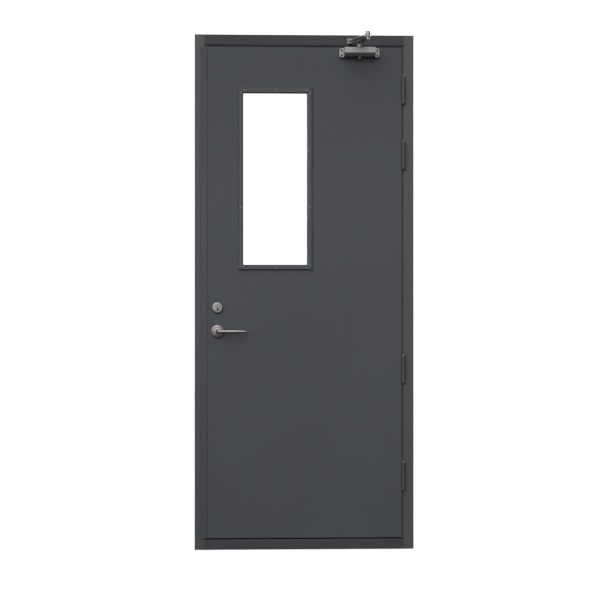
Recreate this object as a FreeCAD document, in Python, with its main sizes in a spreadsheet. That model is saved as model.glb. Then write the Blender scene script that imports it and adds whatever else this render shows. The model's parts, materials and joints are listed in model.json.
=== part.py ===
import FreeCAD, Part
import math
import os
import Sketcher
from FreeCAD import Rotation, Vector

# Single leaf steel fire door in its own four sided frame.
# Millimetres, +X to the right seen from the side the door opens to, that side faces -Y, +Z up.
# The origin is at the middle of the underside of the sill.

# Driving sizes: name, value, what it is
SIZES = [
    ("frame_width", 895.0, "overall width of the frame"),
    ("frame_height", 2100.0, "overall height of the frame"),
    ("frame_depth", 110.0, "front face to rear face of the frame"),
    ("frame_face", 42.0, "width of the front face of each frame member"),
    ("frame_sheet", 1.5, "sheet thickness of the frame"),
    ("rebate_depth", 55.0, "depth of the rebate that takes the leaf"),
    ("stop_height", 20.0, "how far the stop stands inward from the rebate"),
    ("wall_return", 15.0, "width of the folded lips that face the wall"),
    ("frame_bend", 2.0, "outer radius of the bends of the frame"),
    ("leaf_gap", 5.0, "gap beside and under the leaf"),
    ("head_gap", 7.0, "gap between the top of the leaf and the head"),
    ("leaf_thickness", 50.0, "thickness of the leaf"),
    ("leaf_proud", 2.0, "how far the leaf stands in front of the frame face"),
    ("leaf_sheet", 1.2, "sheet thickness of the two leaf pans"),
    ("leaf_bend", 1.5, "outer radius of the bends round the faces of the leaf"),
    ("leaf_seam", 1.0, "seam between the two pans along the leaf edge"),
    ("lock_bevel", 2.5, "how far the rear corner of the lock edge is set back"),
    ("seal_width", 10.0, "width of the seal on the stop"),
    ("seal_clearance", 0.3, "gap between seal and leaf"),
    ("strip_width", 28.0, "width of the overlap strip on the lock edge"),
    ("strip_overhang", 23.0, "how far the overlap strip passes the leaf edge"),
    ("strip_thickness", 3.0, "thickness of the overlap strip"),
    ("hinge_length", 112.0, "length of a hinge"),
    ("hinge_barrel", 16.0, "diameter of the hinge knuckles"),
    ("hinge_pin", 7.0, "diameter of the hinge pin"),
    ("hinge_pin_fit", 0.05, "clearance round the pin"),
    ("hinge_knuckle_gap", 0.4, "gap between neighbouring knuckles"),
    ("hinge_plate", 3.0, "thickness of the hinge plates"),
    ("hinge_plate_width", 30.0, "width of a hinge plate from the pin axis"),
    ("hinge_setback", 4.5, "pin axis outside the leaf edge"),
    ("hinge_standoff", 7.0, "pin axis in front of the leaf face"),
    ("hinge_cap", 2.0, "height of the button at each end of the pin"),
    ("hinge_1_rise", 252.5, "middle of the lowest hinge above the bottom of the leaf"),
    ("hinge_2_rise", 688.5, "middle of the second hinge above the bottom of the leaf"),
    ("hinge_3_drop", 441.0, "middle of the third hinge below the top of the leaf"),
    ("hinge_4_drop", 174.5, "middle of the top hinge below the top of the leaf"),
    ("window_inset", 281.5, "middle of the vision panel from the lock edge"),
    ("window_drop", 538.5, "middle of the vision panel below the top of the leaf"),
    ("window_width", 266.0, "width of the glass that shows"),
    ("window_height", 707.0, "height of the glass that shows"),
    ("trim_width", 17.0, "width of the flange of the window trim"),
    ("trim_sheet", 2.0, "thickness of the window trim"),
    ("trim_proud", 9.0, "how far the window trim stands out of the leaf"),
    ("trim_round", 2.0, "radius of the outer edges of the window trim"),
    ("gasket_width", 3.0, "width of the glazing gasket inside the trim"),
    ("gasket_depth", 5.0, "depth of the glazing gasket on the glass"),
    ("trim_saw_gap", 0.3, "gap at the mitred corners of the window trim"),
    ("cut_out_margin", 5.0, "how far the cut-out in the leaf is wider than the glass that shows"),
    ("glass_thickness", 20.0, "thickness of the fire resisting glass"),
    ("glass_clearance", 0.3, "gap between glass and trim"),
    ("glass_edge_gap", 2.0, "gap between glass edge and cut-out"),
    ("lock_backset", 46.5, "lock axis inside the leaf edge"),
    ("handle_height", 890.0, "height of the lever axis"),
    ("cylinder_spacing", 96.0, "cylinder above the lever axis"),
    ("handle_rose", 54.0, "diameter of the lever rose"),
    ("cylinder_rose", 47.0, "diameter of the cylinder rose"),
    ("rose_thickness", 9.0, "thickness of the roses"),
    ("rose_rim", 3.0, "height of the upright rim of a rose"),
    ("rose_dish", 2.0, "depth of the dish in the face of the lever rose"),
    ("flat_dish", 0.1, "depth of the dish in the face of the cylinder rose"),
    ("cylinder_diameter", 23.0, "diameter of the lock cylinder"),
    ("cylinder_proud", 1.5, "how far the cylinder stands out of its rose"),
    ("key_slot_width", 6.0, "width of the key slot"),
    ("key_slot_height", 10.0, "height of the key slot"),
    ("key_slot_drop", 5.0, "middle of the key slot below the cylinder axis"),
    ("key_slot_depth", 8.0, "depth of the key slot"),
    ("bore_clearance", 0.3, "clearance round what passes through a rose or the leaf"),
    ("lever_neck", 16.0, "diameter of the lever neck"),
    ("lever_reach", 48.0, "lever centre line in front of the leaf face"),
    ("lever_length", 120.0, "lever axis to lever tip"),
    ("lever_root", 14.0, "diameter of the lever between its bend and its taper"),
    ("lever_bend", 13.0, "radius of the bend from neck to grip, at its centre line"),
    ("lever_straight", 60.0, "lever axis to the start of the taper"),
    ("lever_point", 3.0, "diameter of the lever at its tip"),
    ("lever_shoulder", 22.0, "length of the rounded point of the lever"),
    ("lever_tip", 11.5, "diameter of the lever where the point starts"),
    ("spindle_side", 8.0, "side of the square spindle"),
    ("faceplate_length", 235.0, "length of the lock faceplate"),
    ("faceplate_width", 22.0, "width of the lock faceplate"),
    ("faceplate_thickness", 3.0, "thickness of the lock faceplate"),
    ("faceplate_rise", 37.0, "middle of the lock faceplate above the lever axis"),
    ("latch_height", 34.0, "height of the latch bolt"),
    ("latch_thickness", 12.0, "thickness of the latch bolt and dead bolt"),
    ("dead_bolt_height", 30.0, "height of the dead bolt"),
    ("bolt_length", 30.0, "length of the bolts inside the leaf"),
    ("strike_length", 245.0, "length of the strike plate"),
    ("strike_width", 26.0, "width of the strike plate"),
    ("strike_thickness", 2.0, "thickness of the strike plate"),
    ("strike_hole_margin", 2.0, "how much larger the strike holes are than the bolts"),
    ("closer_inset", 180.5, "closer spindle inside the hinge axis"),
    ("closer_length", 166.0, "length of the closer with its end caps"),
    ("closer_height", 37.0, "height of the closer body"),
    ("closer_drop", 5.0, "top of the closer body below the top of the leaf"),
    ("closer_depth", 52.0, "depth of the closer body"),
    ("closer_spindle_depth", 27.0, "closer spindle in front of the leaf face"),
    ("closer_chin_height", 13.0, "height of the slope under the front face of the closer"),
    ("closer_chin_depth", 16.0, "depth of the slope under the front face of the closer"),
    ("closer_edge_radius", 4.0, "radius of the long edges of the closer"),
    ("closer_cap_length", 20.0, "length of the fixing lug at each end of the closer"),
    ("closer_cap_depth", 15.0, "depth of a fixing lug"),
    ("closer_cap_inset", 1.0, "top of a fixing lug below the top of the closer"),
    ("closer_cap_drop", 3.0, "foot of a fixing lug below the underside of the closer"),
    ("closer_cap_slope", 8.0, "length of the sloping corners of a fixing lug"),
    ("closer_cap_fall", 6.0, "height of the sloping corners of a fixing lug"),
    ("closer_cap_round", 3.0, "radius of the front edges of a fixing lug"),
    ("collar_diameter", 25.0, "diameter of the bearing collar"),
    ("collar_height", 17.0, "height of the bearing collar"),
    ("closer_spindle", 10.0, "diameter of the closer spindle"),
    ("bottom_cap_diameter", 16.0, "diameter of the cap under the closer"),
    ("bottom_cap_height", 10.0, "height of the cap under the closer"),
    ("arm_gap", 0.4, "gap between the pieces stacked on a closer pivot"),
    ("arm_bar_share", 0.85, "width of the bar of the main arm as a share of its ends"),
    ("arm_thickness", 7.0, "thickness of the main arm"),
    ("arm_hub", 28.0, "diameter of the main arm at the spindle"),
    ("arm_end", 22.0, "diameter of both arms at the elbow"),
    ("forearm_thickness", 6.0, "thickness of the forearm"),
    ("forearm_width", 14.0, "width of the forearm"),
    ("seal_inset", 2.0, "outer edge of the seal inside the edge of the leaf"),
    ("elbow_side", 16.5, "elbow to the right of the spindle, door closed"),
    ("elbow_reach", 206.0, "elbow in front of the spindle, door closed"),
    ("elbow_nut", 13.0, "diameter of the nut under the elbow"),
    ("elbow_head", 20.0, "diameter of the bolt head on the elbow"),
    ("elbow_nut_height", 12.0, "height of the nut under the elbow"),
    ("elbow_head_height", 8.0, "height of the bolt head on the elbow"),
    ("shoe_inset", 217.0, "shoe pivot inside the hinge axis"),
    ("shoe_reach", 22.0, "shoe pivot in front of the frame face"),
    ("shoe_width", 26.0, "width of the shoe plate"),
    ("shoe_plate", 5.0, "thickness of the shoe plate"),
    ("shoe_height", 24.0, "height of the shoe plate"),
    ("shoe_lug", 8.0, "thickness of the shoe lug"),
    ("shoe_round", 4.0, "corner radius of the shoe plate"),
    ("shoe_pin", 8.0, "diameter of the shoe pin"),
    ("shoe_pin_fit", 0.05, "clearance round the shoe pin"),
    ("shoe_knob", 18.0, "diameter of the knob on the shoe pin"),
    ("shoe_knob_height", 6.0, "height of the knob on the shoe pin"),
]

doc = FreeCAD.newDocument("fire_door")
sheet = doc.addObject("Spreadsheet::Sheet", "dim")
for row, (alias, value, meaning) in enumerate(SIZES, start=1):
    sheet.set(f"A{row}", meaning)
    sheet.set(f"B{row}", str(value))
    sheet.setAlias(f"B{row}", alias)
doc.recompute()


def measure(expression):
    """Value of an expression of the sheet's sizes."""
    return float(sheet.evalExpression(str(expression)))


# Places that several pieces share, as expressions of the driving sizes
REBATE_X = "(dim.frame_width / 2 - dim.frame_face)"
STOP_X = f"({REBATE_X} - dim.stop_height)"
FRONT_Y = "(-dim.frame_depth / 2)"
REAR_Y = "(dim.frame_depth / 2)"
STOP_Y = f"({FRONT_Y} + dim.rebate_depth)"
HEAD_REBATE_Z = "(dim.frame_height - dim.frame_face)"
HEAD_STOP_Z = f"({HEAD_REBATE_Z} - dim.stop_height)"
SILL_STOP_Z = "(dim.frame_face + dim.stop_height)"
LEAF_X = f"({REBATE_X} - dim.leaf_gap)"
LEAF_BOTTOM = "(dim.frame_face + dim.leaf_gap)"
LEAF_TOP = f"({HEAD_REBATE_Z} - dim.head_gap)"
LEAF_FRONT = f"({FRONT_Y} - dim.leaf_proud)"
LEAF_BACK = f"({LEAF_FRONT} + dim.leaf_thickness)"
PAN_DEPTH = "((dim.leaf_thickness - dim.leaf_seam) / 2)"
HINGE_X = f"({LEAF_X} + dim.hinge_setback)"
HINGE_Y = f"({LEAF_FRONT} - dim.hinge_standoff)"
LOCK_X = f"(-{LEAF_X} + dim.lock_backset)"
CYLINDER_Z = "(dim.handle_height + dim.cylinder_spacing)"
FACEPLATE_Z = "(dim.handle_height + dim.faceplate_rise)"
HINGE_MIDDLES = [
    f"({LEAF_BOTTOM} + dim.hinge_1_rise)",
    f"({LEAF_BOTTOM} + dim.hinge_2_rise)",
    f"({LEAF_TOP} - dim.hinge_3_drop)",
    f"({LEAF_TOP} - dim.hinge_4_drop)",
]
WINDOW_X = f"(-{LEAF_X} + dim.window_inset)"
WINDOW_Z = f"({LEAF_TOP} - dim.window_drop)"
WINDOW_HALF_X = "(dim.window_width / 2)"
WINDOW_HALF_Z = "(dim.window_height / 2)"
CUT_HALF_X = f"({WINDOW_HALF_X} + dim.cut_out_margin)"
CUT_HALF_Z = f"({WINDOW_HALF_Z} + dim.cut_out_margin)"
GLASS_FRONT = f"(({LEAF_FRONT} + {LEAF_BACK} - dim.glass_thickness) / 2)"
GLASS_BACK = f"({GLASS_FRONT} + dim.glass_thickness)"
SPINDLE_Y = f"({LEAF_FRONT} - dim.closer_spindle_depth)"
CLOSER_X = f"({HINGE_X} - dim.closer_inset)"
CLOSER_TOP = f"({LEAF_TOP} - dim.closer_drop)"
CLOSER_BOTTOM = f"({CLOSER_TOP} - dim.closer_height)"
COLLAR_TOP = f"({CLOSER_TOP} + dim.collar_height)"
ARM_BOTTOM = f"({COLLAR_TOP} + dim.arm_gap)"
ARM_TOP = f"({ARM_BOTTOM} + dim.arm_thickness)"
FOREARM_BOTTOM = f"({ARM_TOP} + dim.arm_gap)"
FOREARM_TOP = f"({FOREARM_BOTTOM} + dim.forearm_thickness)"
ELBOW_X = f"({CLOSER_X} + dim.elbow_side)"
ELBOW_Y = f"({SPINDLE_Y} - dim.elbow_reach)"
SHOE_X = f"({HINGE_X} - dim.shoe_inset)"
SHOE_Y = f"({FRONT_Y} - dim.shoe_reach)"
LUG_TOP = f"({FOREARM_BOTTOM} - dim.arm_gap)"
LUG_BOTTOM = f"({LUG_TOP} - dim.shoe_lug)"
KNUCKLES = 5
NEAR = 0.01


def plus(*terms):
    return "(" + " + ".join(str(term) for term in terms) + ")"


def minus(first, second):
    return f"({first} - {second})"


def times(sign, expression):
    return f"({sign} * {expression})"


# Making of sketches and features


def new_body(label):
    body = doc.addObject("PartDesign::Body", label)
    body.Label = label
    return body


def new_sketch(body, plane, offset="0"):
    """Sketch on an origin plane of the body, moved along the plane's normal."""
    sketch = body.newObject("Sketcher::SketchObject", body.Name + "_sketch")
    support = next(f for f in body.Origin.OriginFeatures if f.Role == plane)
    sketch.AttachmentSupport = [(support, "")]
    sketch.MapMode = "FlatFace"
    sketch.setExpression("AttachmentOffset.Base.z", offset)
    return sketch


def polygon(sketch, corners):
    """Closed outline whose corners are pairs of expressions."""
    first = sketch.GeometryCount
    count = len(corners)
    places = [Vector(measure(x), measure(y), 0) for x, y in corners]
    for i in range(count):
        sketch.addGeometry(Part.LineSegment(places[i], places[(i + 1) % count]), False)
    joins = []
    for i in range(count):
        joins.append(Sketcher.Constraint("Coincident", first + i, 2, first + (i + 1) % count, 1))
    sketch.addConstraint(joins)
    for i, (x, y) in enumerate(corners):
        for kind, expression, value in (("DistanceX", x, places[i].x), ("DistanceY", y, places[i].y)):
            index = sketch.addConstraint(Sketcher.Constraint(kind, -1, 1, first + i, 1, value))
            sketch.setExpression(f"Constraints[{index}]", expression)


def rectangle(sketch, low_x, high_x, low_y, high_y):
    polygon(sketch, [(low_x, low_y), (high_x, low_y), (high_x, high_y), (low_x, high_y)])


def circle(sketch, x, y, diameter):
    centre = Vector(measure(x), measure(y), 0)
    radius = measure(diameter) / 2
    curve = sketch.addGeometry(Part.Circle(centre, Vector(0, 0, 1), radius), False)
    values = (("DistanceX", x, centre.x), ("DistanceY", y, centre.y))
    for kind, expression, value in values:
        index = sketch.addConstraint(Sketcher.Constraint(kind, -1, 1, curve, 3, value))
        sketch.setExpression(f"Constraints[{index}]", expression)
    index = sketch.addConstraint(Sketcher.Constraint("Diameter", curve, 2 * radius))
    sketch.setExpression(f"Constraints[{index}]", diameter)


def extrude(kind, body, sketch, length, reverse=False, both_ways=False):
    feature = body.newObject(f"PartDesign::{kind}", f"{body.Name}_{kind.lower()}")
    feature.Profile = sketch
    feature.setExpression("Length", length)
    feature.Reversed = reverse
    feature.Midplane = both_ways
    sketch.Visibility = False
    return feature


def pad(body, sketch, length, reverse=False, both_ways=False):
    feature = extrude("Pad", body, sketch, length, reverse, both_ways)
    doc.recompute()
    return feature


def pocket(body, sketch, length, reverse=False, both_ways=False):
    """Pocket that has to take material away."""
    before = body.Shape.Volume
    feature = extrude("Pocket", body, sketch, length, reverse, both_ways)
    doc.recompute()
    if body.Shape.Volume > before - 0.01:
        raise RuntimeError(f"{feature.Name} cuts nothing")
    return feature


def edges_at(shape, axis, first, second):
    """Names of the edges along an axis whose places on the other two axes are given."""
    along = "XYZ".index(axis)
    across = [i for i in range(3) if i != along]
    goal = [measure(first), measure(second)]
    names = []
    for index, edge in enumerate(shape.Edges, start=1):
        ends = [edge.firstVertex().Point, edge.lastVertex().Point]
        off = [abs(end[across[k]] - goal[k]) for end in ends for k in (0, 1)]
        if max(off) < NEAR and abs(ends[0][along] - ends[1][along]) > NEAR:
            names.append(f"Edge{index}")
    if not names:
        raise RuntimeError(f"no edge along {axis} at {goal}")
    return names


def round_edges(body, radius, picks):
    """Rounds edges of the body. picks holds (axis, first place, second place) for edges_at."""
    base = body.Tip
    names = []
    for axis, first, second in picks:
        names += edges_at(base.Shape, axis, first, second)
    fillet = body.newObject("PartDesign::Fillet", f"{body.Name}_round")
    fillet.Base = (base, names)
    fillet.setExpression("Radius", radius)
    doc.recompute()
    return fillet


def turn(body, sketch, axis_place, upright, angle=360, reverse=False):
    """Turns a sketch about a line along one of its axes, the second one when upright."""
    place = measure(axis_place)
    if upright:
        ends = (Vector(place, 0, 0), Vector(place, 1, 0))
        kind, fixed, direction = "DistanceX", "DistanceY", "Vertical"
    else:
        ends = (Vector(0, place, 0), Vector(1, place, 0))
        kind, fixed, direction = "DistanceY", "DistanceX", "Horizontal"
    line = sketch.addGeometry(Part.LineSegment(*ends), True)
    index = sketch.addConstraint(Sketcher.Constraint(kind, -1, 1, line, 1, place))
    sketch.setExpression(f"Constraints[{index}]", axis_place)
    sketch.addConstraint(Sketcher.Constraint(fixed, -1, 1, line, 1, 0.0))
    sketch.addConstraint(Sketcher.Constraint(direction, line))
    sketch.addConstraint(Sketcher.Constraint("Distance", line, 1.0))
    feature = body.newObject("PartDesign::Revolution", f"{body.Name}_turned")
    feature.Profile = sketch
    feature.ReferenceAxis = (sketch, ["Axis0"])
    feature.Angle = angle
    feature.Reversed = reverse
    sketch.Visibility = False
    doc.recompute()


def block(label, low_x, high_x, low_y, high_y, low_z, high_z):
    """Box between two corners."""
    box = doc.addObject("Part::Box", label)
    box.Label = label
    box.setExpression("Length", minus(high_x, low_x))
    box.setExpression("Width", minus(high_y, low_y))
    box.setExpression("Height", minus(high_z, low_z))
    box.setExpression("Placement.Base.x", low_x)
    box.setExpression("Placement.Base.y", low_y)
    box.setExpression("Placement.Base.z", low_z)
    return box


def rod(label, x, y, low_z, diameter, height):
    """Upright cylinder."""
    cylinder = doc.addObject("Part::Cylinder", label)
    cylinder.Label = label
    cylinder.setExpression("Radius", f"({diameter}) / 2")
    cylinder.setExpression("Height", height)
    cylinder.setExpression("Placement.Base.x", x)
    cylinder.setExpression("Placement.Base.y", y)
    cylinder.setExpression("Placement.Base.z", low_z)
    return cylinder


def fuse(label, pieces):
    joined = doc.addObject("Part::MultiFuse", label)
    joined.Label = label
    joined.Shapes = pieces
    return joined


def cut(label, base, tool):
    remaining = doc.addObject("Part::Cut", label)
    remaining.Label = label
    remaining.Base = base
    remaining.Tool = tool
    return remaining


nodes = []


def keep(piece):
    nodes.append(piece)
    return piece


# Frame: folded sheet open to the wall, front face, rebate, stop, soffit and rear face


def member_profile(outer, rebate, stop, inward):
    """Section of a frame member as (across, depth) corners.

    outer, rebate and stop are the places of its wall side, rebate web and soffit, and inward is
    the sign of the direction from the wall to the doorway.
    """
    sheet_in = times(-inward, "dim.frame_sheet")
    lip = "dim.wall_return"
    thickness = "dim.frame_sheet"
    wall_skin = plus(outer, times(inward, thickness))
    outside = [
        (outer, plus(FRONT_Y, lip)),
        (outer, FRONT_Y),
        (rebate, FRONT_Y),
        (rebate, STOP_Y),
        (stop, STOP_Y),
        (stop, REAR_Y),
        (outer, REAR_Y),
        (outer, minus(REAR_Y, lip)),
    ]
    inside = [
        (wall_skin, minus(REAR_Y, lip)),
        (wall_skin, minus(REAR_Y, thickness)),
        (plus(stop, sheet_in), minus(REAR_Y, thickness)),
        (plus(stop, sheet_in), plus(STOP_Y, thickness)),
        (plus(rebate, sheet_in), plus(STOP_Y, thickness)),
        (plus(rebate, sheet_in), plus(FRONT_Y, thickness)),
        (wall_skin, plus(FRONT_Y, thickness)),
        (wall_skin, plus(FRONT_Y, lip)),
    ]
    return outside + inside


def jamb(label, side):
    """Upright, full height. side is -1 for the lock side and 1 for the hinge side."""
    body = new_body(label)
    outline = member_profile(
        times(side, "dim.frame_width / 2"), times(side, REBATE_X), times(side, STOP_X), -side
    )
    sketch = new_sketch(body, "XY_Plane")
    polygon(sketch, outline)
    pad(body, sketch, "dim.frame_height")
    bends = [
        ("Z", times(side, "dim.frame_width / 2"), FRONT_Y),
        ("Z", times(side, REBATE_X), FRONT_Y),
        ("Z", times(side, STOP_X), STOP_Y),
        ("Z", times(side, STOP_X), REAR_Y),
        ("Z", times(side, "dim.frame_width / 2"), REAR_Y),
    ]
    round_edges(body, "dim.frame_bend", bends)
    return body


def cross_member(label, profile, bends):
    """Head or sill between the jambs. bends are the (depth, height) places of its rounded edges."""
    body = new_body(label)
    sketch = new_sketch(body, "YZ_Plane")
    for outline in profile:
        polygon(sketch, [(depth, height) for height, depth in outline])
    pad(body, sketch, times(2, REBATE_X), both_ways=True)
    round_edges(body, "dim.frame_bend", [("X", depth, height) for depth, height in bends])
    return body


def cope(body, low_z, high_z):
    """Takes the ends of a cross member away where the jamb stops stand."""
    for side in (-1, 1):
        sketch = new_sketch(body, "XY_Plane", low_z)
        edges = sorted((times(side, STOP_X), times(side, plus(REBATE_X, 1))), key=measure)
        rectangle(sketch, edges[0], edges[1], STOP_Y, plus(REAR_Y, 1))
        pocket(body, sketch, minus(high_z, low_z), reverse=True)


hinge_jamb = keep(jamb("hinge_jamb", 1))
for middle in HINGE_MIDDLES:
    notch = new_sketch(hinge_jamb, "YZ_Plane", REBATE_X)
    rectangle(
        notch,
        minus(FRONT_Y, 1),
        plus(HINGE_Y, "dim.hinge_plate_width"),
        f"({middle} - dim.hinge_length / 2)",
        f"({middle} + dim.hinge_length / 2)",
    )
    pocket(hinge_jamb, notch, "dim.hinge_plate", reverse=True)

lock_jamb = keep(jamb("lock_jamb", -1))
strike_low = f"({FACEPLATE_Z} - dim.strike_length / 2)"
strike_high = f"({FACEPLATE_Z} + dim.strike_length / 2)"
STRIKE_Y = f"({LEAF_FRONT} + dim.leaf_thickness / 2)"
strike_front = f"({STRIKE_Y} - dim.strike_width / 2)"
strike_rear = f"({STRIKE_Y} + dim.strike_width / 2)"
notch = new_sketch(lock_jamb, "YZ_Plane", times(-1, REBATE_X))
rectangle(notch, strike_front, strike_rear, strike_low, strike_high)
pocket(lock_jamb, notch, "dim.strike_thickness")

head_profile = member_profile("dim.frame_height", HEAD_REBATE_Z, HEAD_STOP_Z, -1)
head_bends = [
    (FRONT_Y, "dim.frame_height"),
    (FRONT_Y, HEAD_REBATE_Z),
    (STOP_Y, HEAD_STOP_Z),
    (REAR_Y, HEAD_STOP_Z),
    (REAR_Y, "dim.frame_height"),
]
frame_head = keep(cross_member("frame_head", [head_profile], head_bends))
cope(frame_head, minus(HEAD_STOP_Z, 1), plus("dim.frame_height", 1))

SKIN = "dim.frame_sheet"
sill_outside = [
    ("0", FRONT_Y),
    ("dim.frame_face", FRONT_Y),
    ("dim.frame_face", STOP_Y),
    (SILL_STOP_Z, STOP_Y),
    (SILL_STOP_Z, REAR_Y),
    ("0", REAR_Y),
]
sill_inside = [
    (SKIN, plus(FRONT_Y, SKIN)),
    (minus("dim.frame_face", SKIN), plus(FRONT_Y, SKIN)),
    (minus("dim.frame_face", SKIN), plus(STOP_Y, SKIN)),
    (minus(SILL_STOP_Z, SKIN), plus(STOP_Y, SKIN)),
    (minus(SILL_STOP_Z, SKIN), minus(REAR_Y, SKIN)),
    (SKIN, minus(REAR_Y, SKIN)),
]
sill_bends = [(FRONT_Y, "dim.frame_face"), (STOP_Y, SILL_STOP_Z), (REAR_Y, SILL_STOP_Z)]
frame_sill = keep(cross_member("frame_sill", [sill_outside, sill_inside], sill_bends))
cope(frame_sill, "(-1)", plus(SILL_STOP_Z, 1))

# Seal: a strip on the stop of each frame member, just clear of the closed leaf
SEAL_FRONT = f"({LEAF_BACK} + dim.seal_clearance)"
SEAL_OUT_X = minus(LEAF_X, "dim.seal_inset")
SEAL_IN_X = minus(SEAL_OUT_X, "dim.seal_width")
SEAL_LOW = plus(LEAF_BOTTOM, "dim.seal_inset")
SEAL_HIGH = minus(LEAF_TOP, "dim.seal_inset")
seal_strips = []
for name, low_x, high_x, low_z, high_z in (
    ("seal_lock_side", times(-1, SEAL_OUT_X), times(-1, SEAL_IN_X), SEAL_LOW, SEAL_HIGH),
    ("seal_hinge_side", SEAL_IN_X, SEAL_OUT_X, SEAL_LOW, SEAL_HIGH),
    ("seal_bottom", times(-1, SEAL_IN_X), SEAL_IN_X, SEAL_LOW, plus(SEAL_LOW, "dim.seal_width")),
    ("seal_top", times(-1, SEAL_IN_X), SEAL_IN_X, minus(SEAL_HIGH, "dim.seal_width"), SEAL_HIGH),
):
    seal_strips.append(block(name, low_x, high_x, SEAL_FRONT, STOP_Y, low_z, high_z))
frame_seal = keep(fuse("frame_seal", seal_strips))

# Leaf: two folded pans round a core, with a seam along the middle of the edges


def lock_edge(depth):
    """X of the bevelled lock edge at a depth."""
    return f"(-{LEAF_X} + dim.lock_bevel * ({depth} - {LEAF_FRONT}) / dim.leaf_thickness)"


def pan(label, face, lip, inward):
    """Face sheet with folded edges. face and lip are the depths of its face and of its open rim."""
    thickness = "dim.leaf_sheet"
    under = plus(face, times(inward, thickness))
    right_inside = minus(LEAF_X, thickness)
    body = new_body(label)
    section = new_sketch(body, "XY_Plane", LEAF_BOTTOM)
    corners = [
        (lock_edge(face), face),
        (LEAF_X, face),
        (LEAF_X, lip),
        (right_inside, lip),
        (right_inside, under),
        (plus(lock_edge(under), thickness), under),
        (plus(lock_edge(lip), thickness), lip),
        (lock_edge(lip), lip),
    ]
    polygon(section, corners)
    pad(body, section, minus(LEAF_TOP, LEAF_BOTTOM))
    for low_z in (LEAF_BOTTOM, minus(LEAF_TOP, thickness)):
        rim = new_sketch(body, "XY_Plane", low_z)
        polygon(rim, [(lock_edge(face), face), (LEAF_X, face), (LEAF_X, lip), (lock_edge(lip), lip)])
        pad(body, rim, thickness)
    bends = [
        ("Z", LEAF_X, face),
        ("Z", lock_edge(face), face),
        ("X", face, LEAF_BOTTOM),
        ("X", face, LEAF_TOP),
    ]
    round_edges(body, "dim.leaf_bend", bends)
    return body


def cut_window(body):
    sketch = new_sketch(body, "XZ_Plane")
    rectangle(
        sketch,
        minus(WINDOW_X, CUT_HALF_X),
        plus(WINDOW_X, CUT_HALF_X),
        minus(WINDOW_Z, CUT_HALF_Z),
        plus(WINDOW_Z, CUT_HALF_Z),
    )
    pocket(body, sketch, times(2, "dim.frame_depth"), both_ways=True)


def cut_lock_bores(body):
    """Round holes through the leaf for the lever neck and the cylinder."""
    sketch = new_sketch(body, "XZ_Plane")
    circle(sketch, LOCK_X, "dim.handle_height", "(dim.lever_neck + 2 * dim.bore_clearance)")
    circle(sketch, LOCK_X, CYLINDER_Z, "(dim.cylinder_diameter + 2 * dim.bore_clearance)")
    pocket(body, sketch, times(2, "dim.frame_depth"), both_ways=True)


def faceplate_outline(outward="0"):
    front = f"({STRIKE_Y} - dim.faceplate_width / 2)"
    rear = f"({STRIKE_Y} + dim.faceplate_width / 2)"
    return [
        (minus(lock_edge(front), outward), front),
        (minus(lock_edge(rear), outward), rear),
        (plus(lock_edge(rear), "dim.faceplate_thickness"), rear),
        (plus(lock_edge(front), "dim.faceplate_thickness"), front),
    ]


FACEPLATE_LOW = f"({FACEPLATE_Z} - dim.faceplate_length / 2)"


def cut_faceplate_seat(body):
    sketch = new_sketch(body, "XY_Plane", FACEPLATE_LOW)
    polygon(sketch, faceplate_outline("1"))
    pocket(body, sketch, "dim.faceplate_length", reverse=True)


def cut_hinge_seats(body):
    for middle in HINGE_MIDDLES:
        sketch = new_sketch(body, "YZ_Plane", minus(LEAF_X, "dim.hinge_plate"))
        rectangle(
            sketch,
            minus(LEAF_FRONT, 1),
            plus(HINGE_Y, "dim.hinge_plate_width"),
            f"({middle} - dim.hinge_length / 2)",
            f"({middle} + dim.hinge_length / 2)",
        )
        pocket(body, sketch, plus("dim.hinge_plate", 1), reverse=True)


leaf_front_skin = keep(pan("leaf_front_skin", LEAF_FRONT, plus(LEAF_FRONT, PAN_DEPTH), 1))
cut_window(leaf_front_skin)
cut_lock_bores(leaf_front_skin)
cut_faceplate_seat(leaf_front_skin)
cut_hinge_seats(leaf_front_skin)

leaf_back_skin = keep(pan("leaf_back_skin", LEAF_BACK, minus(LEAF_BACK, PAN_DEPTH), -1))
cut_window(leaf_back_skin)
cut_lock_bores(leaf_back_skin)
cut_faceplate_seat(leaf_back_skin)

leaf_core = keep(new_body("leaf_core"))
CORE_FRONT = plus(LEAF_FRONT, "dim.leaf_sheet")
CORE_BACK = minus(LEAF_BACK, "dim.leaf_sheet")
core_section = new_sketch(leaf_core, "XY_Plane", plus(LEAF_BOTTOM, "dim.leaf_sheet"))
core_corners = [
    (plus(lock_edge(CORE_FRONT), "dim.leaf_sheet"), CORE_FRONT),
    (minus(LEAF_X, "dim.leaf_sheet"), CORE_FRONT),
    (minus(LEAF_X, "dim.leaf_sheet"), CORE_BACK),
    (plus(lock_edge(CORE_BACK), "dim.leaf_sheet"), CORE_BACK),
]
polygon(core_section, core_corners)
pad(leaf_core, core_section, f"({LEAF_TOP} - {LEAF_BOTTOM} - 2 * dim.leaf_sheet)")
cut_window(leaf_core)
cut_lock_bores(leaf_core)
cut_faceplate_seat(leaf_core)
cut_hinge_seats(leaf_core)

# Overlap strip on the face of the leaf, over the gap at the lock side
STRIP_LEFT = f"(-{LEAF_X} - dim.strip_overhang)"
lock_edge_strip = keep(
    block(
        "lock_edge_strip",
        STRIP_LEFT,
        plus(STRIP_LEFT, "dim.strip_width"),
        minus(LEAF_FRONT, "dim.strip_thickness"),
        LEAF_FRONT,
        LEAF_BOTTOM,
        LEAF_TOP,
    )
)

# Vision panel: mitred trims on both faces and a thick pane with a gasket round it between them
DIAGONAL = math.sqrt(0.5)


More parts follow.
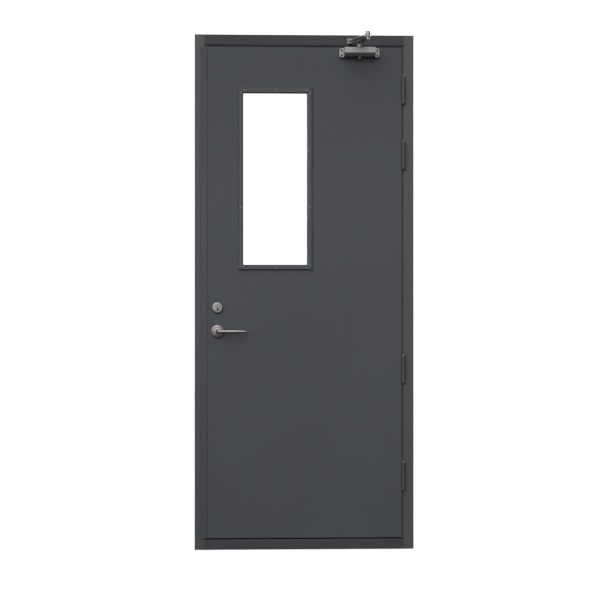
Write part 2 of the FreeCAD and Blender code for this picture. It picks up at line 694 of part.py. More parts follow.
def window_block(label, reach, depths):
    """Block over the glass that shows, reaching past it by the same amount on all four sides."""
    return block(
        label,
        f"({WINDOW_X} - {WINDOW_HALF_X} - {reach})",
        f"({WINDOW_X} + {WINDOW_HALF_X} + {reach})",
        depths[0],
        depths[1],
        f"({WINDOW_Z} - {WINDOW_HALF_Z} - {reach})",
        f"({WINDOW_Z} + {WINDOW_HALF_Z} + {reach})",
    )


def vision_trim(label, face, outward):
    """Four mitred bars of folded sheet: a flange with a return to the leaf and a leg to the glass.

    outward is the sign from the leaf face to the room.
    """
    top = plus(face, times(outward, "dim.trim_proud"))
    fold = minus(top, times(outward, "dim.trim_sheet"))
    pane = plus(GLASS_FRONT if outward < 0 else GLASS_BACK, times(outward, "dim.glass_clearance"))
    hollow_y = sorted((face, fold), key=measure)
    leg_y = sorted((pane, top), key=measure)
    flange = new_body(f"{label}_flange")
    outline = new_sketch(flange, "XZ_Plane", times(-1, face))
    left, right = (f"({WINDOW_X} {sign} ({WINDOW_HALF_X} + dim.trim_width))" for sign in "-+")
    foot, head = (f"({WINDOW_Z} {sign} ({WINDOW_HALF_Z} + dim.trim_width))" for sign in "-+")
    rectangle(outline, left, right, foot, head)
    pad(flange, outline, "dim.trim_proud", reverse=outward > 0)
    rim = [("X", top, foot), ("X", top, head), ("Z", left, top), ("Z", right, top)]
    round_edges(flange, "dim.trim_round", rim)
    hollow = window_block(f"{label}_hollow", minus("dim.trim_width", "dim.trim_sheet"), hollow_y)
    leg = window_block(f"{label}_leg", "dim.trim_sheet", leg_y)
    middle = window_block(f"{label}_middle", "0", (minus(leg_y[0], 1), plus(leg_y[1], 1)))
    folded = fuse(f"{label}_folded", [cut(f"{label}_shell", flange, hollow), leg])
    ring = cut(f"{label}_ring", folded, middle)
    saws = []
    for across in (-1, 1):
        for up in (-1, 1):
            saw = doc.addObject("Part::Box", f"{label}_saw")
            saw.setExpression("Length", "3 * dim.trim_width")
            saw.setExpression("Width", f"({leg_y[1]} - {leg_y[0]} + 2)")
            saw.setExpression("Height", "dim.trim_saw_gap")
            # The saw lies at 45 degrees across the corner and passes the inner corner. Its low end is
            # outside the corner on the left and inside the opening on the right
            run = f"(3 * dim.trim_width * {DIAGONAL})" if across > 0 else "0"
            shift = f"(dim.trim_saw_gap / 2 * {DIAGONAL})"
            corner_x = f"({WINDOW_X} + {across} * ({WINDOW_HALF_X} + dim.trim_width))"
            corner_z = f"({WINDOW_Z} + {up} * ({WINDOW_HALF_Z} + dim.trim_width))"
            saw.Placement.Rotation = Rotation(Vector(0, 1, 0), -45 * across * up)
            saw.setExpression("Placement.Base.x", f"({corner_x} - {run} - {across * up} * {shift})")
            saw.setExpression("Placement.Base.y", minus(leg_y[0], 1))
            saw.setExpression("Placement.Base.z", f"({corner_z} - {across * up} * {run} - {shift})")
            saws.append(saw)
    return cut(label, ring, fuse(f"{label}_saws", saws))


vision_trim_front = keep(vision_trim("vision_trim_front", LEAF_FRONT, -1))
vision_trim_back = keep(vision_trim("vision_trim_back", LEAF_BACK, 1))
PANE_HALF_X = minus(CUT_HALF_X, "dim.glass_edge_gap")
PANE_HALF_Z = minus(CUT_HALF_Z, "dim.glass_edge_gap")
glass_pane = keep(
    block(
        "glass_pane",
        minus(WINDOW_X, PANE_HALF_X),
        plus(WINDOW_X, PANE_HALF_X),
        GLASS_FRONT,
        GLASS_BACK,
        minus(WINDOW_Z, PANE_HALF_Z),
        plus(WINDOW_Z, PANE_HALF_Z),
    )
)



def glazing_gasket(label, pane, outward):
    """Soft strip round the glass, inside the leg of the trim."""
    face = plus(pane, times(outward, "dim.gasket_depth"))
    depths = sorted((pane, face), key=measure)
    strip = window_block(f"{label}_strip", "0", depths)
    sight = window_block(f"{label}_sight", "(-dim.gasket_width)", (minus(depths[0], 1), plus(depths[1], 1)))
    return cut(label, strip, sight)


glazing_gasket_front = keep(glazing_gasket("glazing_gasket_front", GLASS_FRONT, -1))
glazing_gasket_back = keep(glazing_gasket("glazing_gasket_back", GLASS_BACK, 1))

# Hinges: five knuckles each, three on the frame plate and two on the leaf plate
KNUCKLE_STEP = f"((dim.hinge_length + dim.hinge_knuckle_gap) / {KNUCKLES})"
KNUCKLE_LENGTH = minus(KNUCKLE_STEP, "dim.hinge_knuckle_gap")


def hinge_half(label, middle, side, knuckle_numbers, plate_low_x):
    """Plate with its knuckles. side is 1 for the frame and -1 for the leaf."""
    base = f"({middle} - dim.hinge_length / 2)"
    plate_high_x = plus(plate_low_x, "dim.hinge_plate")
    plate_front = FRONT_Y if side > 0 else LEAF_FRONT
    pieces = [
        block(
            f"{label}_plate",
            plate_low_x,
            plate_high_x,
            plate_front,
            plus(HINGE_Y, "dim.hinge_plate_width"),
            base,
            plus(base, "dim.hinge_length"),
        )
    ]
    for number in knuckle_numbers:
        low_z = plus(base, times(number, KNUCKLE_STEP))
        high_z = plus(low_z, KNUCKLE_LENGTH)
        name = f"{label}_knuckle_{number}"
        pieces.append(rod(name, HINGE_X, HINGE_Y, low_z, "dim.hinge_barrel", KNUCKLE_LENGTH))
        web_back = plus(plate_front, 1)
        pieces.append(block(f"{name}_web", plate_low_x, plate_high_x, HINGE_Y, web_back, low_z, high_z))
    bore = rod(
        f"{label}_bore",
        HINGE_X,
        HINGE_Y,
        minus(base, 1),
        "(dim.hinge_pin + 2 * dim.hinge_pin_fit)",
        plus("dim.hinge_length", 2),
    )
    return cut(label, fuse(f"{label}_solid", pieces), bore)


for number, middle in enumerate(HINGE_MIDDLES, start=1):
    frame_plate = REBATE_X
    leaf_plate = minus(LEAF_X, "dim.hinge_plate")
    keep(hinge_half(f"hinge_{number}_frame_half", middle, 1, (0, 2, 4), frame_plate))
    keep(hinge_half(f"hinge_{number}_leaf_half", middle, -1, (1, 3), leaf_plate))
    low_z = f"({middle} - dim.hinge_length / 2)"
    shaft_low = minus(low_z, "dim.arm_gap")
    shaft = rod(
        f"hinge_{number}_shaft",
        HINGE_X,
        HINGE_Y,
        shaft_low,
        "dim.hinge_pin",
        "(dim.hinge_length + 2 * dim.arm_gap)",
    )
    buttons = []
    for name, low_place, low_share, high_share in (
        ("foot", minus(shaft_low, "dim.hinge_cap"), 3, 2),
        ("button", f"({low_z} + dim.hinge_length + dim.arm_gap)", 2, 3),
    ):
        button = doc.addObject("Part::Cone", f"hinge_{number}_{name}")
        button.setExpression("Radius1", f"dim.hinge_barrel * 0.75 / {low_share}")
        button.setExpression("Radius2", f"dim.hinge_barrel * 0.75 / {high_share}")
        button.setExpression("Height", "dim.hinge_cap")
        button.setExpression("Placement.Base.x", HINGE_X)
        button.setExpression("Placement.Base.y", HINGE_Y)
        button.setExpression("Placement.Base.z", low_place)
        buttons.append(button)
    keep(fuse(f"hinge_{number}_pin", [shaft] + buttons))

# Lock furniture on both faces


def rose(label, face, outward, diameter, bore, height, dish):
    """Turned rose with an upright rim, a domed shoulder and a face that may be dished."""

    def at(radius, rise):
        return (f"({LOCK_X} + {radius})", plus(face, times(outward, rise)))

    outer = f"({diameter} / 2)"
    inner = f"({bore} / 2)"
    body = new_body(label)
    corners = [
        at(inner, "0"),
        at(outer, "0"),
        at(outer, "dim.rose_rim"),
        at(f"({outer} * 0.95)", "(dim.rose_rim + (dim.rose_thickness - dim.rose_rim) * 0.55)"),
        at(f"({outer} * 0.84)", "(dim.rose_rim + (dim.rose_thickness - dim.rose_rim) * 0.88)"),
        at(f"({outer} * 0.72)", "dim.rose_thickness"),
        at(f"({outer} * 0.64)", f"(dim.rose_thickness - {dish})"),
        at(inner, f"(dim.rose_thickness - {dish} / 2)"),
    ]
    section = new_sketch(body, "XY_Plane", height)
    polygon(section, corners)
    turn(body, section, LOCK_X, True)
    return body


NECK_BORE = "(dim.lever_neck + 2 * dim.bore_clearance)"
CYLINDER_BORE = "(dim.cylinder_diameter + 2 * dim.bore_clearance)"
for side_name, face, outward in (("front", LEAF_FRONT, -1), ("back", LEAF_BACK, 1)):
    lever_rose = f"handle_rose_{side_name}"
    key_rose = f"cylinder_rose_{side_name}"
    handle_z = "dim.handle_height"
    keep(rose(lever_rose, face, outward, "dim.handle_rose", NECK_BORE, handle_z, "dim.rose_dish"))
    keep(rose(key_rose, face, outward, "dim.cylinder_rose", CYLINDER_BORE, CYLINDER_Z, "dim.flat_dish"))

lock_cylinder = keep(new_body("lock_cylinder"))
CYLINDER_HALF = "(dim.leaf_thickness / 2 + dim.rose_thickness + dim.cylinder_proud)"
barrel = new_sketch(lock_cylinder, "XZ_Plane", times(-1, STRIKE_Y))
circle(barrel, LOCK_X, CYLINDER_Z, "dim.cylinder_diameter")
pad(lock_cylinder, barrel, times(2, CYLINDER_HALF), both_ways=True)
for outward in (-1, 1):
    slot = new_sketch(lock_cylinder, "XZ_Plane", f"(-{STRIKE_Y} - {outward} * {CYLINDER_HALF})")
    rectangle(
        slot,
        f"({LOCK_X} - dim.key_slot_width / 2)",
        f"({LOCK_X} + dim.key_slot_width / 2)",
        f"({CYLINDER_Z} - dim.key_slot_drop - dim.key_slot_height / 2)",
        f"({CYLINDER_Z} - dim.key_slot_drop + dim.key_slot_height / 2)",
    )
    pocket(lock_cylinder, slot, "dim.key_slot_depth", reverse=outward > 0)


def lever(label, face, outward):
    """Round neck bent into a grip that tapers to a point."""
    body = new_body(label)
    line_y = plus(face, times(outward, "dim.lever_reach"))
    neck = new_sketch(body, "XZ_Plane", times(-1, face))
    circle(neck, LOCK_X, "dim.handle_height", "dim.lever_neck")
    bend_start = minus(line_y, times(outward, "dim.lever_bend"))
    pad(body, neck, "(dim.lever_reach - dim.lever_bend)", reverse=outward > 0)
    ring = new_sketch(body, "XZ_Plane", times(-1, bend_start))
    circle(ring, LOCK_X, "dim.handle_height", "dim.lever_root")
    turn(body, ring, plus(LOCK_X, "dim.lever_bend"), True, angle=90, reverse=outward > 0)

    def at(along, radius):
        return (f"({LOCK_X} + {along})", plus(line_y, times(outward, radius)))

    point_start = "(dim.lever_length - dim.lever_shoulder)"
    corners = [
        at("dim.lever_bend", "0"),
        at("dim.lever_bend", "(dim.lever_root / 2)"),
        at("dim.lever_straight", "(dim.lever_root / 2)"),
        at(point_start, "(dim.lever_tip / 2)"),
        at("(dim.lever_length - dim.lever_shoulder / 2)", "(dim.lever_tip * 2 / 5)"),
        at("(dim.lever_length - dim.lever_shoulder / 6)", "(dim.lever_tip / 4)"),
        at("dim.lever_length", "(dim.lever_point / 2)"),
        at("dim.lever_length", "0"),
    ]
    grip = new_sketch(body, "XY_Plane", "dim.handle_height")
    polygon(grip, corners)
    turn(body, grip, line_y, False)
    return body


keep(lever("lever_front", LEAF_FRONT, -1))
keep(lever("lever_back", LEAF_BACK, 1))
keep(
    block(
        "lever_spindle",
        f"({LOCK_X} - dim.spindle_side / 2)",
        f"({LOCK_X} + dim.spindle_side / 2)",
        LEAF_FRONT,
        LEAF_BACK,
        "(dim.handle_height - dim.spindle_side / 2)",
        "(dim.handle_height + dim.spindle_side / 2)",
    )
)

# Lock edge: faceplate with the drawn back bolts flush in it, and the strike plate in the jamb
BOLTS = (
    ("latch_bolt", "dim.handle_height", "dim.latch_height"),
    ("dead_bolt", CYLINDER_Z, "dim.dead_bolt_height"),
)
lock_faceplate = keep(new_body("lock_faceplate"))
plate = new_sketch(lock_faceplate, "XY_Plane", FACEPLATE_LOW)
polygon(plate, faceplate_outline())
pad(lock_faceplate, plate, "dim.faceplate_length")
strike_plate = keep(new_body("strike_plate"))
plate = new_sketch(strike_plate, "YZ_Plane", times(-1, REBATE_X))
rectangle(plate, strike_front, strike_rear, strike_low, strike_high)
pad(strike_plate, plate, "dim.strike_thickness", reverse=True)

for name, height, tall in BOLTS:
    front = f"({STRIKE_Y} - dim.latch_thickness / 2)"
    rear = f"({STRIKE_Y} + dim.latch_thickness / 2)"
    low_z = f"({height} - {tall} / 2)"
    high_z = f"({height} + {tall} / 2)"
    bolt = keep(new_body(name))
    section = new_sketch(bolt, "XY_Plane", low_z)
    inner = f"(-{LEAF_X} + dim.bolt_length)"
    polygon(section, [(lock_edge(front), front), (inner, front), (inner, rear), (lock_edge(rear), rear)])
    pad(bolt, section, minus(high_z, low_z))
    for holder in (lock_faceplate, leaf_core):
        hole = new_sketch(holder, "YZ_Plane", times(-1, plus(LEAF_X, 1)))
        rectangle(hole, front, rear, low_z, high_z)
        pocket(holder, hole, plus("dim.bolt_length", 1), reverse=True)
    hole = new_sketch(strike_plate, "YZ_Plane", times(-1, REBATE_X))
    margin = "dim.strike_hole_margin"
    rectangle(hole, minus(front, margin), plus(rear, margin), minus(low_z, margin), plus(high_z, margin))
    pocket(strike_plate, hole, times(2, "dim.strike_thickness"), both_ways=True)

# Door closer on the leaf, its arms and its shoe on the head
CLOSER_LEFT = f"({CLOSER_X} - dim.closer_length / 2)"
CLOSER_RIGHT = f"({CLOSER_X} + dim.closer_length / 2)"
CLOSER_FRONT = minus(LEAF_FRONT, "dim.closer_depth")
closer_body = keep(new_body("closer_body"))
section = new_sketch(closer_body, "YZ_Plane", plus(CLOSER_LEFT, "dim.closer_cap_length"))
CHIN_TOP = plus(CLOSER_BOTTOM, "dim.closer_chin_height")
CHIN_BACK = plus(CLOSER_FRONT, "dim.closer_chin_depth")
closer_corners = [
    (LEAF_FRONT, CLOSER_BOTTOM),
    (LEAF_FRONT, CLOSER_TOP),
    (CLOSER_FRONT, CLOSER_TOP),
    (CLOSER_FRONT, CHIN_TOP),
    (CHIN_BACK, CLOSER_BOTTOM),
]
polygon(section, closer_corners)
pad(closer_body, section, "(dim.closer_length - 2 * dim.closer_cap_length)")
long_edges = [
    ("X", CLOSER_FRONT, CLOSER_TOP),
    ("X", CLOSER_FRONT, CHIN_TOP),
    ("X", CHIN_BACK, CLOSER_BOTTOM),
]
round_edges(closer_body, "dim.closer_edge_radius", long_edges)

LUG_FACE = minus(LEAF_FRONT, "dim.closer_cap_depth")
for label, inner_x, outer_x, outward in (
    ("closer_end_cap_left", plus(CLOSER_LEFT, "dim.closer_cap_length"), CLOSER_LEFT, -1),
    ("closer_end_cap_right", minus(CLOSER_RIGHT, "dim.closer_cap_length"), CLOSER_RIGHT, 1),
):
    lug = keep(new_body(label))
    low_z = minus(CLOSER_BOTTOM, "dim.closer_cap_drop")
    high_z = minus(CLOSER_TOP, "dim.closer_cap_inset")
    slope_x = minus(outer_x, times(outward, "dim.closer_cap_slope"))
    corners = [
        (inner_x, low_z),
        (slope_x, low_z),
        (outer_x, plus(low_z, "dim.closer_cap_fall")),
        (outer_x, minus(high_z, "dim.closer_cap_fall")),
        (slope_x, high_z),
        (inner_x, high_z),
    ]
    outline = new_sketch(lug, "XZ_Plane", times(-1, LEAF_FRONT))
    polygon(outline, corners)
    pad(lug, outline, "dim.closer_cap_depth")
    front_edges = [("X", LUG_FACE, low_z), ("X", LUG_FACE, high_z), ("Z", outer_x, LUG_FACE)]
    round_edges(lug, "dim.closer_cap_round", front_edges)

collar = rod(
    "closer_collar_ring", CLOSER_X, SPINDLE_Y, CLOSER_TOP, "dim.collar_diameter", "dim.collar_height"
)
shaft = rod(
    "closer_shaft", CLOSER_X, SPINDLE_Y, CLOSER_TOP, "dim.closer_spindle", minus(ARM_TOP, CLOSER_TOP)
)
keep(fuse("closer_spindle", [collar, shaft]))
bottom_cap = doc.addObject("Part::Cone", "closer_bottom_cap")
bottom_cap.Label = "closer_bottom_cap"
bottom_cap.setExpression("Radius1", "dim.bottom_cap_diameter / 4")
bottom_cap.setExpression("Radius2", "dim.bottom_cap_diameter / 2")
bottom_cap.setExpression("Height", "dim.bottom_cap_height")
bottom_cap.setExpression("Placement.Base.x", CLOSER_X)
bottom_cap.setExpression("Placement.Base.y", SPINDLE_Y)
bottom_cap.setExpression("Placement.Base.z", minus(CLOSER_BOTTOM, "dim.bottom_cap_height"))
keep(bottom_cap)


def tapered_bar(body, start, end, low_z, thickness, start_size, end_size):
    """Flat bar between two points with a taper from one width to the other."""
    (x0, y0), (x1, y1) = start, end
    run = f"sqrt(({x1} - {x0})^2 + ({y1} - {y0})^2)"
    across_x = f"(({y0} - {y1}) / {run})"
    across_y = f"(({x1} - {x0}) / {run})"
    sketch = new_sketch(body, "XY_Plane", low_z)
    corners = []
    for x, y, size, sign in (
        (x0, y0, start_size, -1),
        (x1, y1, end_size, -1),
        (x1, y1, end_size, 1),
        (x0, y0, start_size, 1),
    ):
        half = f"{sign} * {size} / 2"
        corners.append((f"({x} + {half} * {across_x})", f"({y} + {half} * {across_y})"))
    polygon(sketch, corners)
    pad(body, sketch, thickness)


def disc(body, x, y, low_z, diameter, height):
    sketch = new_sketch(body, "XY_Plane", low_z)
    circle(sketch, x, y, diameter)
    pad(body, sketch, height)


def bore(body, x, y, low_z, diameter, height):
    sketch = new_sketch(body, "XY_Plane", low_z)
    circle(sketch, x, y, diameter)
    pocket(body, sketch, height, reverse=True)


SPINDLE = (CLOSER_X, SPINDLE_Y)
ELBOW = (ELBOW_X, ELBOW_Y)
SHOE = (SHOE_X, SHOE_Y)
closer_main_arm = keep(new_body("closer_main_arm"))
tapered_bar(
    closer_main_arm,
    SPINDLE,
    ELBOW,
    ARM_BOTTOM,
    "dim.arm_thickness",
    "dim.arm_hub * dim.arm_bar_share",
    "dim.arm_end * dim.arm_bar_share",
)
disc(closer_main_arm, *SPINDLE, ARM_BOTTOM, "dim.arm_hub", "dim.arm_thickness")
disc(closer_main_arm, *ELBOW, ARM_BOTTOM, "dim.arm_end", "dim.arm_thickness")
NUT_BOTTOM = minus(ARM_BOTTOM, "dim.elbow_nut_height")
disc(closer_main_arm, *ELBOW, NUT_BOTTOM, "dim.elbow_nut", "dim.elbow_nut_height")
bore(
    closer_main_arm,
    *SPINDLE,
    minus(ARM_BOTTOM, 1),
    "(dim.closer_spindle + 2 * dim.shoe_pin_fit)",
    plus("dim.arm_thickness", 2),
)

closer_forearm = keep(new_body("closer_forearm"))
tapered_bar(
    closer_forearm,
    ELBOW,
    SHOE,
    FOREARM_BOTTOM,
    "dim.forearm_thickness",
    "dim.forearm_width",
    "dim.forearm_width",
)
disc(closer_forearm, *ELBOW, FOREARM_BOTTOM, "dim.arm_end", "dim.forearm_thickness")
disc(closer_forearm, *ELBOW, FOREARM_TOP, "dim.elbow_head", "dim.elbow_head_height")
disc(closer_forearm, *SHOE, FOREARM_BOTTOM, "dim.shoe_knob", "dim.forearm_thickness")
bore(
    closer_forearm,
    *SHOE,
    minus(FOREARM_BOTTOM, 1),
    "(dim.shoe_pin + 2 * dim.shoe_pin_fit)",
    plus("dim.forearm_thickness", 2),
)

closer_shoe = keep(new_body("closer_shoe"))
plate_outline = new_sketch(closer_shoe, "XZ_Plane", times(-1, FRONT_Y))
SHOE_LEFT = f"({SHOE_X} - dim.shoe_width / 2)"
SHOE_RIGHT = f"({SHOE_X} + dim.shoe_width / 2)"
SHOE_HIGH = plus(LUG_BOTTOM, "dim.shoe_height")
rectangle(plate_outline, SHOE_LEFT, SHOE_RIGHT, LUG_BOTTOM, SHOE_HIGH)
pad(closer_shoe, plate_outline, "dim.shoe_plate")
round_edges(closer_shoe, "dim.shoe_round", [("Y", SHOE_LEFT, SHOE_HIGH), ("Y", SHOE_RIGHT, SHOE_HIGH)])
lug_outline = new_sketch(closer_shoe, "XY_Plane", LUG_BOTTOM)
LUG_LEFT = f"({SHOE_X} - dim.shoe_knob / 2)"
LUG_RIGHT = f"({SHOE_X} + dim.shoe_knob / 2)"
rectangle(lug_outline, LUG_LEFT, LUG_RIGHT, SHOE_Y, FRONT_Y)
pad(closer_shoe, lug_outline, "dim.shoe_lug")
disc(closer_shoe, *SHOE, LUG_BOTTOM, "dim.shoe_knob", "dim.shoe_lug")
KNOB_BOTTOM = plus(FOREARM_TOP, "dim.arm_gap")
disc(closer_shoe, *SHOE, LUG_BOTTOM, "dim.shoe_pin", minus(KNOB_BOTTOM, LUG_BOTTOM))
disc(closer_shoe, *SHOE, KNOB_BOTTOM, "dim.shoe_knob", "dim.shoe_knob_height")

# Check and write
doc.recompute()
for thing in doc.Objects:
    if "Invalid" in thing.State or "Error" in thing.State:
        raise RuntimeError(f"{thing.Name} failed: {thing.State}")
os.makedirs("parts", exist_ok=True)
for piece in nodes:
    if piece.Shape.isNull() or not piece.Shape.isValid() or not piece.Shape.Solids:
        raise RuntimeError(f"{piece.Label} has no valid shape")
    piece.Shape.exportStep(f"parts/{piece.Label}.step")
    print(piece.Label, len(piece.Shape.Solids), round(piece.Shape.Volume))
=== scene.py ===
# %% [markdown]
# A steel fire door in its frame. The packed model gives every piece its place and its size, in
# metres, and moves with its joints. This lesson only dresses it: finishes, screws and the small
# turned and cast pieces that need finer surfaces than a model made for fitting has.

import json
import math

import bmesh
import bpy
from mathutils import Matrix, Vector


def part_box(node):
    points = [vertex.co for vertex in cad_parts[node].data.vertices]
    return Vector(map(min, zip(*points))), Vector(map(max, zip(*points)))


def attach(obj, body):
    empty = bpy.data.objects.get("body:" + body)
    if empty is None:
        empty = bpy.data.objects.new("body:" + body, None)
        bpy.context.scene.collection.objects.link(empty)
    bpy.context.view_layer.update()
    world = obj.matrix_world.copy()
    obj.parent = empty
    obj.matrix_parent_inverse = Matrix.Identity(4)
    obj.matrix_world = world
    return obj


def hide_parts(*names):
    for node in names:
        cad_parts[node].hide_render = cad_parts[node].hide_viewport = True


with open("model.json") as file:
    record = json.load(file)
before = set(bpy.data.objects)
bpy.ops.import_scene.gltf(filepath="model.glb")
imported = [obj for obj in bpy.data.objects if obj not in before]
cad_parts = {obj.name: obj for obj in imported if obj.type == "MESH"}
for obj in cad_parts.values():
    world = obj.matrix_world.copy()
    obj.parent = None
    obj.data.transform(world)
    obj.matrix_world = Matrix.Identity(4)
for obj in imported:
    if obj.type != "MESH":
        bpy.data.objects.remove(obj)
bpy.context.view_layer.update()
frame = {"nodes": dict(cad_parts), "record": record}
nodes = frame["nodes"]

# %% [markdown]
# In the picture the uprights of the door run almost parallel, as a long lens shows them from far
# away. How far can't be read from it, but about eight metres fits, a little to the left of the
# middle and with the lens level at half the height of the door. So the camera stands there, instead
# of being moved near and widened.

# %% Camera
SENSOR_WIDTH, LENS = 36.0, 117.6
CAMERA_PLACE = (-0.3871, -8.0462, 1.0205)
CAMERA_TILT, CAMERA_TURN = 89.982, -2.6455

view = bpy.data.cameras.new("door_view")
view.sensor_width = SENSOR_WIDTH
view.lens = LENS
camera = bpy.data.objects.new("door_view", view)
camera.location = CAMERA_PLACE
camera.rotation_euler = (math.radians(CAMERA_TILT), 0.0, math.radians(CAMERA_TURN))
bpy.context.collection.objects.link(camera)
bpy.context.scene.camera = camera
print("camera", CAMERA_PLACE, "lens", LENS)

# %% [markdown]
# A studio for such pictures has a pale floor under a white wall far behind. The floor could be a
# real one that lights the door from below, but in the picture the undersides are dark. So the
# door's steel neither mirrors this floor nor gets light from it.

# %% Floor
FLOOR_REACH = 14.0

floor_mesh = bpy.data.meshes.new("studio_floor")
corners = [(FLOOR_REACH * x, FLOOR_REACH * y, 0) for x, y in ((-1, -1), (1, -1), (1, 1), (-1, 1))]
floor_mesh.from_pydata(corners, [], [(0, 1, 2, 3)])
floor = bpy.data.objects.new("studio_floor", floor_mesh)
bpy.context.collection.objects.link(floor)
floor.visible_diffuse = False
floor.visible_glossy = False

pale = bpy.data.materials.new("pale_floor")
pale.use_nodes = True
pale_shader = pale.node_tree.nodes["Principled BSDF"]
pale_shader.inputs["Base Color"].default_value = (0.8, 0.8, 0.8, 1)
pale_shader.inputs["Roughness"].default_value = 0.9
pale_shader.inputs["Specular IOR Level"].default_value = 0.0
floor_mesh.materials.append(pale)
print("floor", 2 * FLOOR_REACH, "m wide")

# %% [markdown]
# The surroundings have two faces. The camera meets plain white, also through the glass. Every other
# ray meets a dimmer room, cooler above, and warmer and darker towards the ground, so that the
# undersides stay dark and the steel has something to mirror. The kind of ray chooses between them.

# %% Surroundings
WHITE, ROOM_ABOVE, ROOM_BELOW = (1, 1, 1, 1), (0.95, 0.98, 1.0, 1), (0.26, 0.21, 0.19, 1)
ROOM_STRENGTH, WHITE_STRENGTH = 0.4, 1.2
ROOM_FROM, ROOM_TO = -0.25, 0.35  # steepness of a ray, from the colour below to the one above
MIX_FIRST, MIX_SECOND, MIX_RESULT = 6, 7, 2  # the sockets of a Mix node that mixes colours

world = bpy.data.worlds.new("white_studio")
world.use_nodes = True
bpy.context.scene.world = world
air = world.node_tree
air.nodes.clear()
seen = air.nodes.new("ShaderNodeLightPath")
straight = air.nodes.new("ShaderNodeMath")
straight.operation = "MAXIMUM"
strength = air.nodes.new("ShaderNodeMapRange")
strength.inputs["To Min"].default_value = ROOM_STRENGTH
strength.inputs["To Max"].default_value = WHITE_STRENGTH
background = air.nodes.new("ShaderNodeBackground")
heading = air.nodes.new("ShaderNodeTexCoord")
steepness = air.nodes.new("ShaderNodeSeparateXYZ")
climb = air.nodes.new("ShaderNodeMapRange")
climb.inputs["From Min"].default_value = ROOM_FROM
climb.inputs["From Max"].default_value = ROOM_TO
room = air.nodes.new("ShaderNodeMix")
room.data_type = "RGBA"
room.inputs[MIX_FIRST].default_value = ROOM_BELOW
room.inputs[MIX_SECOND].default_value = ROOM_ABOVE
paper = air.nodes.new("ShaderNodeMix")
paper.data_type = "RGBA"
paper.inputs[MIX_SECOND].default_value = WHITE
air_out = air.nodes.new("ShaderNodeOutputWorld")
for giver, taker in (
    (heading.outputs["Generated"], steepness.inputs[0]),
    (steepness.outputs["Z"], climb.inputs["Value"]),
    (climb.outputs["Result"], room.inputs["Factor"]),
    (room.outputs[MIX_RESULT], paper.inputs[MIX_FIRST]),
    (seen.outputs["Is Camera Ray"], straight.inputs[0]),
    (seen.outputs["Is Transmission Ray"], straight.inputs[1]),
    (straight.outputs[0], paper.inputs["Factor"]),
    (straight.outputs[0], strength.inputs["Value"]),
    (paper.outputs[MIX_RESULT], background.inputs["Color"]),
    (strength.outputs["Result"], background.inputs["Strength"]),
    (background.outputs[0], air_out.inputs["Surface"]),
):
    air.links.new(giver, taker)
bpy.context.scene.view_settings.view_transform = "Standard"
print("surroundings from", len(air.nodes), "nodes")

# %% [markdown]
# One large soft light hangs in front, above and to the left. It gives the short shadows under the
# closer and beside the window trim, and a weak one on the right fills them a little. Two more stand
# behind, for the views from there. They hang no higher than the door, because from higher up they
# glare on its top edges. The floor has a light of its own, so that the door throws no hard shadow
# on it.

# %% Lights
FRONT_MIDDLE, BACK_MIDDLE = (0, 0, 1.0), (0, 0, 1.1)


def hang(name, lamp, place, target):
    thing = bpy.data.objects.new(name, lamp)
    thing.location = place
    thing.rotation_euler = (Vector(target) - thing.location).to_track_quat("-Z", "Y").to_euler()
    bpy.context.collection.objects.link(thing)
    return thing


def far_light(name, place, target, spread, power):
    """Soft light so far off that it reaches all of the door alike. spread is the angle it fills."""
    lamp = bpy.data.lights.new(name, "SUN")
    lamp.energy = power
    lamp.angle = spread
    return hang(name, lamp, place, target)


def soft_light(name, place, target, size, watts):
    """Square light. size is its side in metres."""
    lamp = bpy.data.lights.new(name, "AREA")
    lamp.shape = "SQUARE"
    lamp.size = size
    lamp.energy = watts
    return hang(name, lamp, place, target)


key_light = far_light("key_light", (-3.0, -7.4, 7.0), FRONT_MIDDLE, spread=1.2, power=5.0)
fill_light = soft_light("fill_light", (2.4, -7.5, 1.6), FRONT_MIDDLE, size=3.0, watts=50)
back_light = soft_light("back_light", (-4.5, 7.0, 2.1), BACK_MIDDLE, size=2.4, watts=600)
side_light = soft_light("side_light", (6.5, 6.5, 2.1), BACK_MIDDLE, size=2.4, watts=900)
floor_light = far_light("floor_light", (0, 0, 5), (0, 0, 0), spread=0.5, power=3.2)
door_lights = (key_light, fill_light, back_light, side_light)

# Four lights reach everything but the floor, and one reaches the floor alone and meets no shadow
only_floor = bpy.data.collections.new("lit_by_floor_light")
only_floor.objects.link(floor)
floor_light.light_linking.receiver_collection = only_floor
all_but_floor = bpy.data.collections.new("lit_by_studio")
all_but_floor.objects.link(floor)
all_but_floor.collection_objects[0].light_linking.link_state = "EXCLUDE"
for lamp in door_lights:
    lamp.light_linking.receiver_collection = all_but_floor
no_blockers = bpy.data.collections.new("shadows_on_floor")
no_blockers.objects.link(floor)
floor_light.light_linking.blocker_collection = no_blockers
print("lights", [lamp.name for lamp in (*door_lights, floor_light)])

# %% [markdown]
# Every finish starts from the same few steps: a shader, some noise that follows the object's own
# coordinates, a colour that drifts a little, a roughness that drifts with it, and a fine bump. The
# helper below wires those steps, so that each finish only says its colours and its scales. A noise
# scale is the number of its swells in a metre.

# %% Helpers for finishes


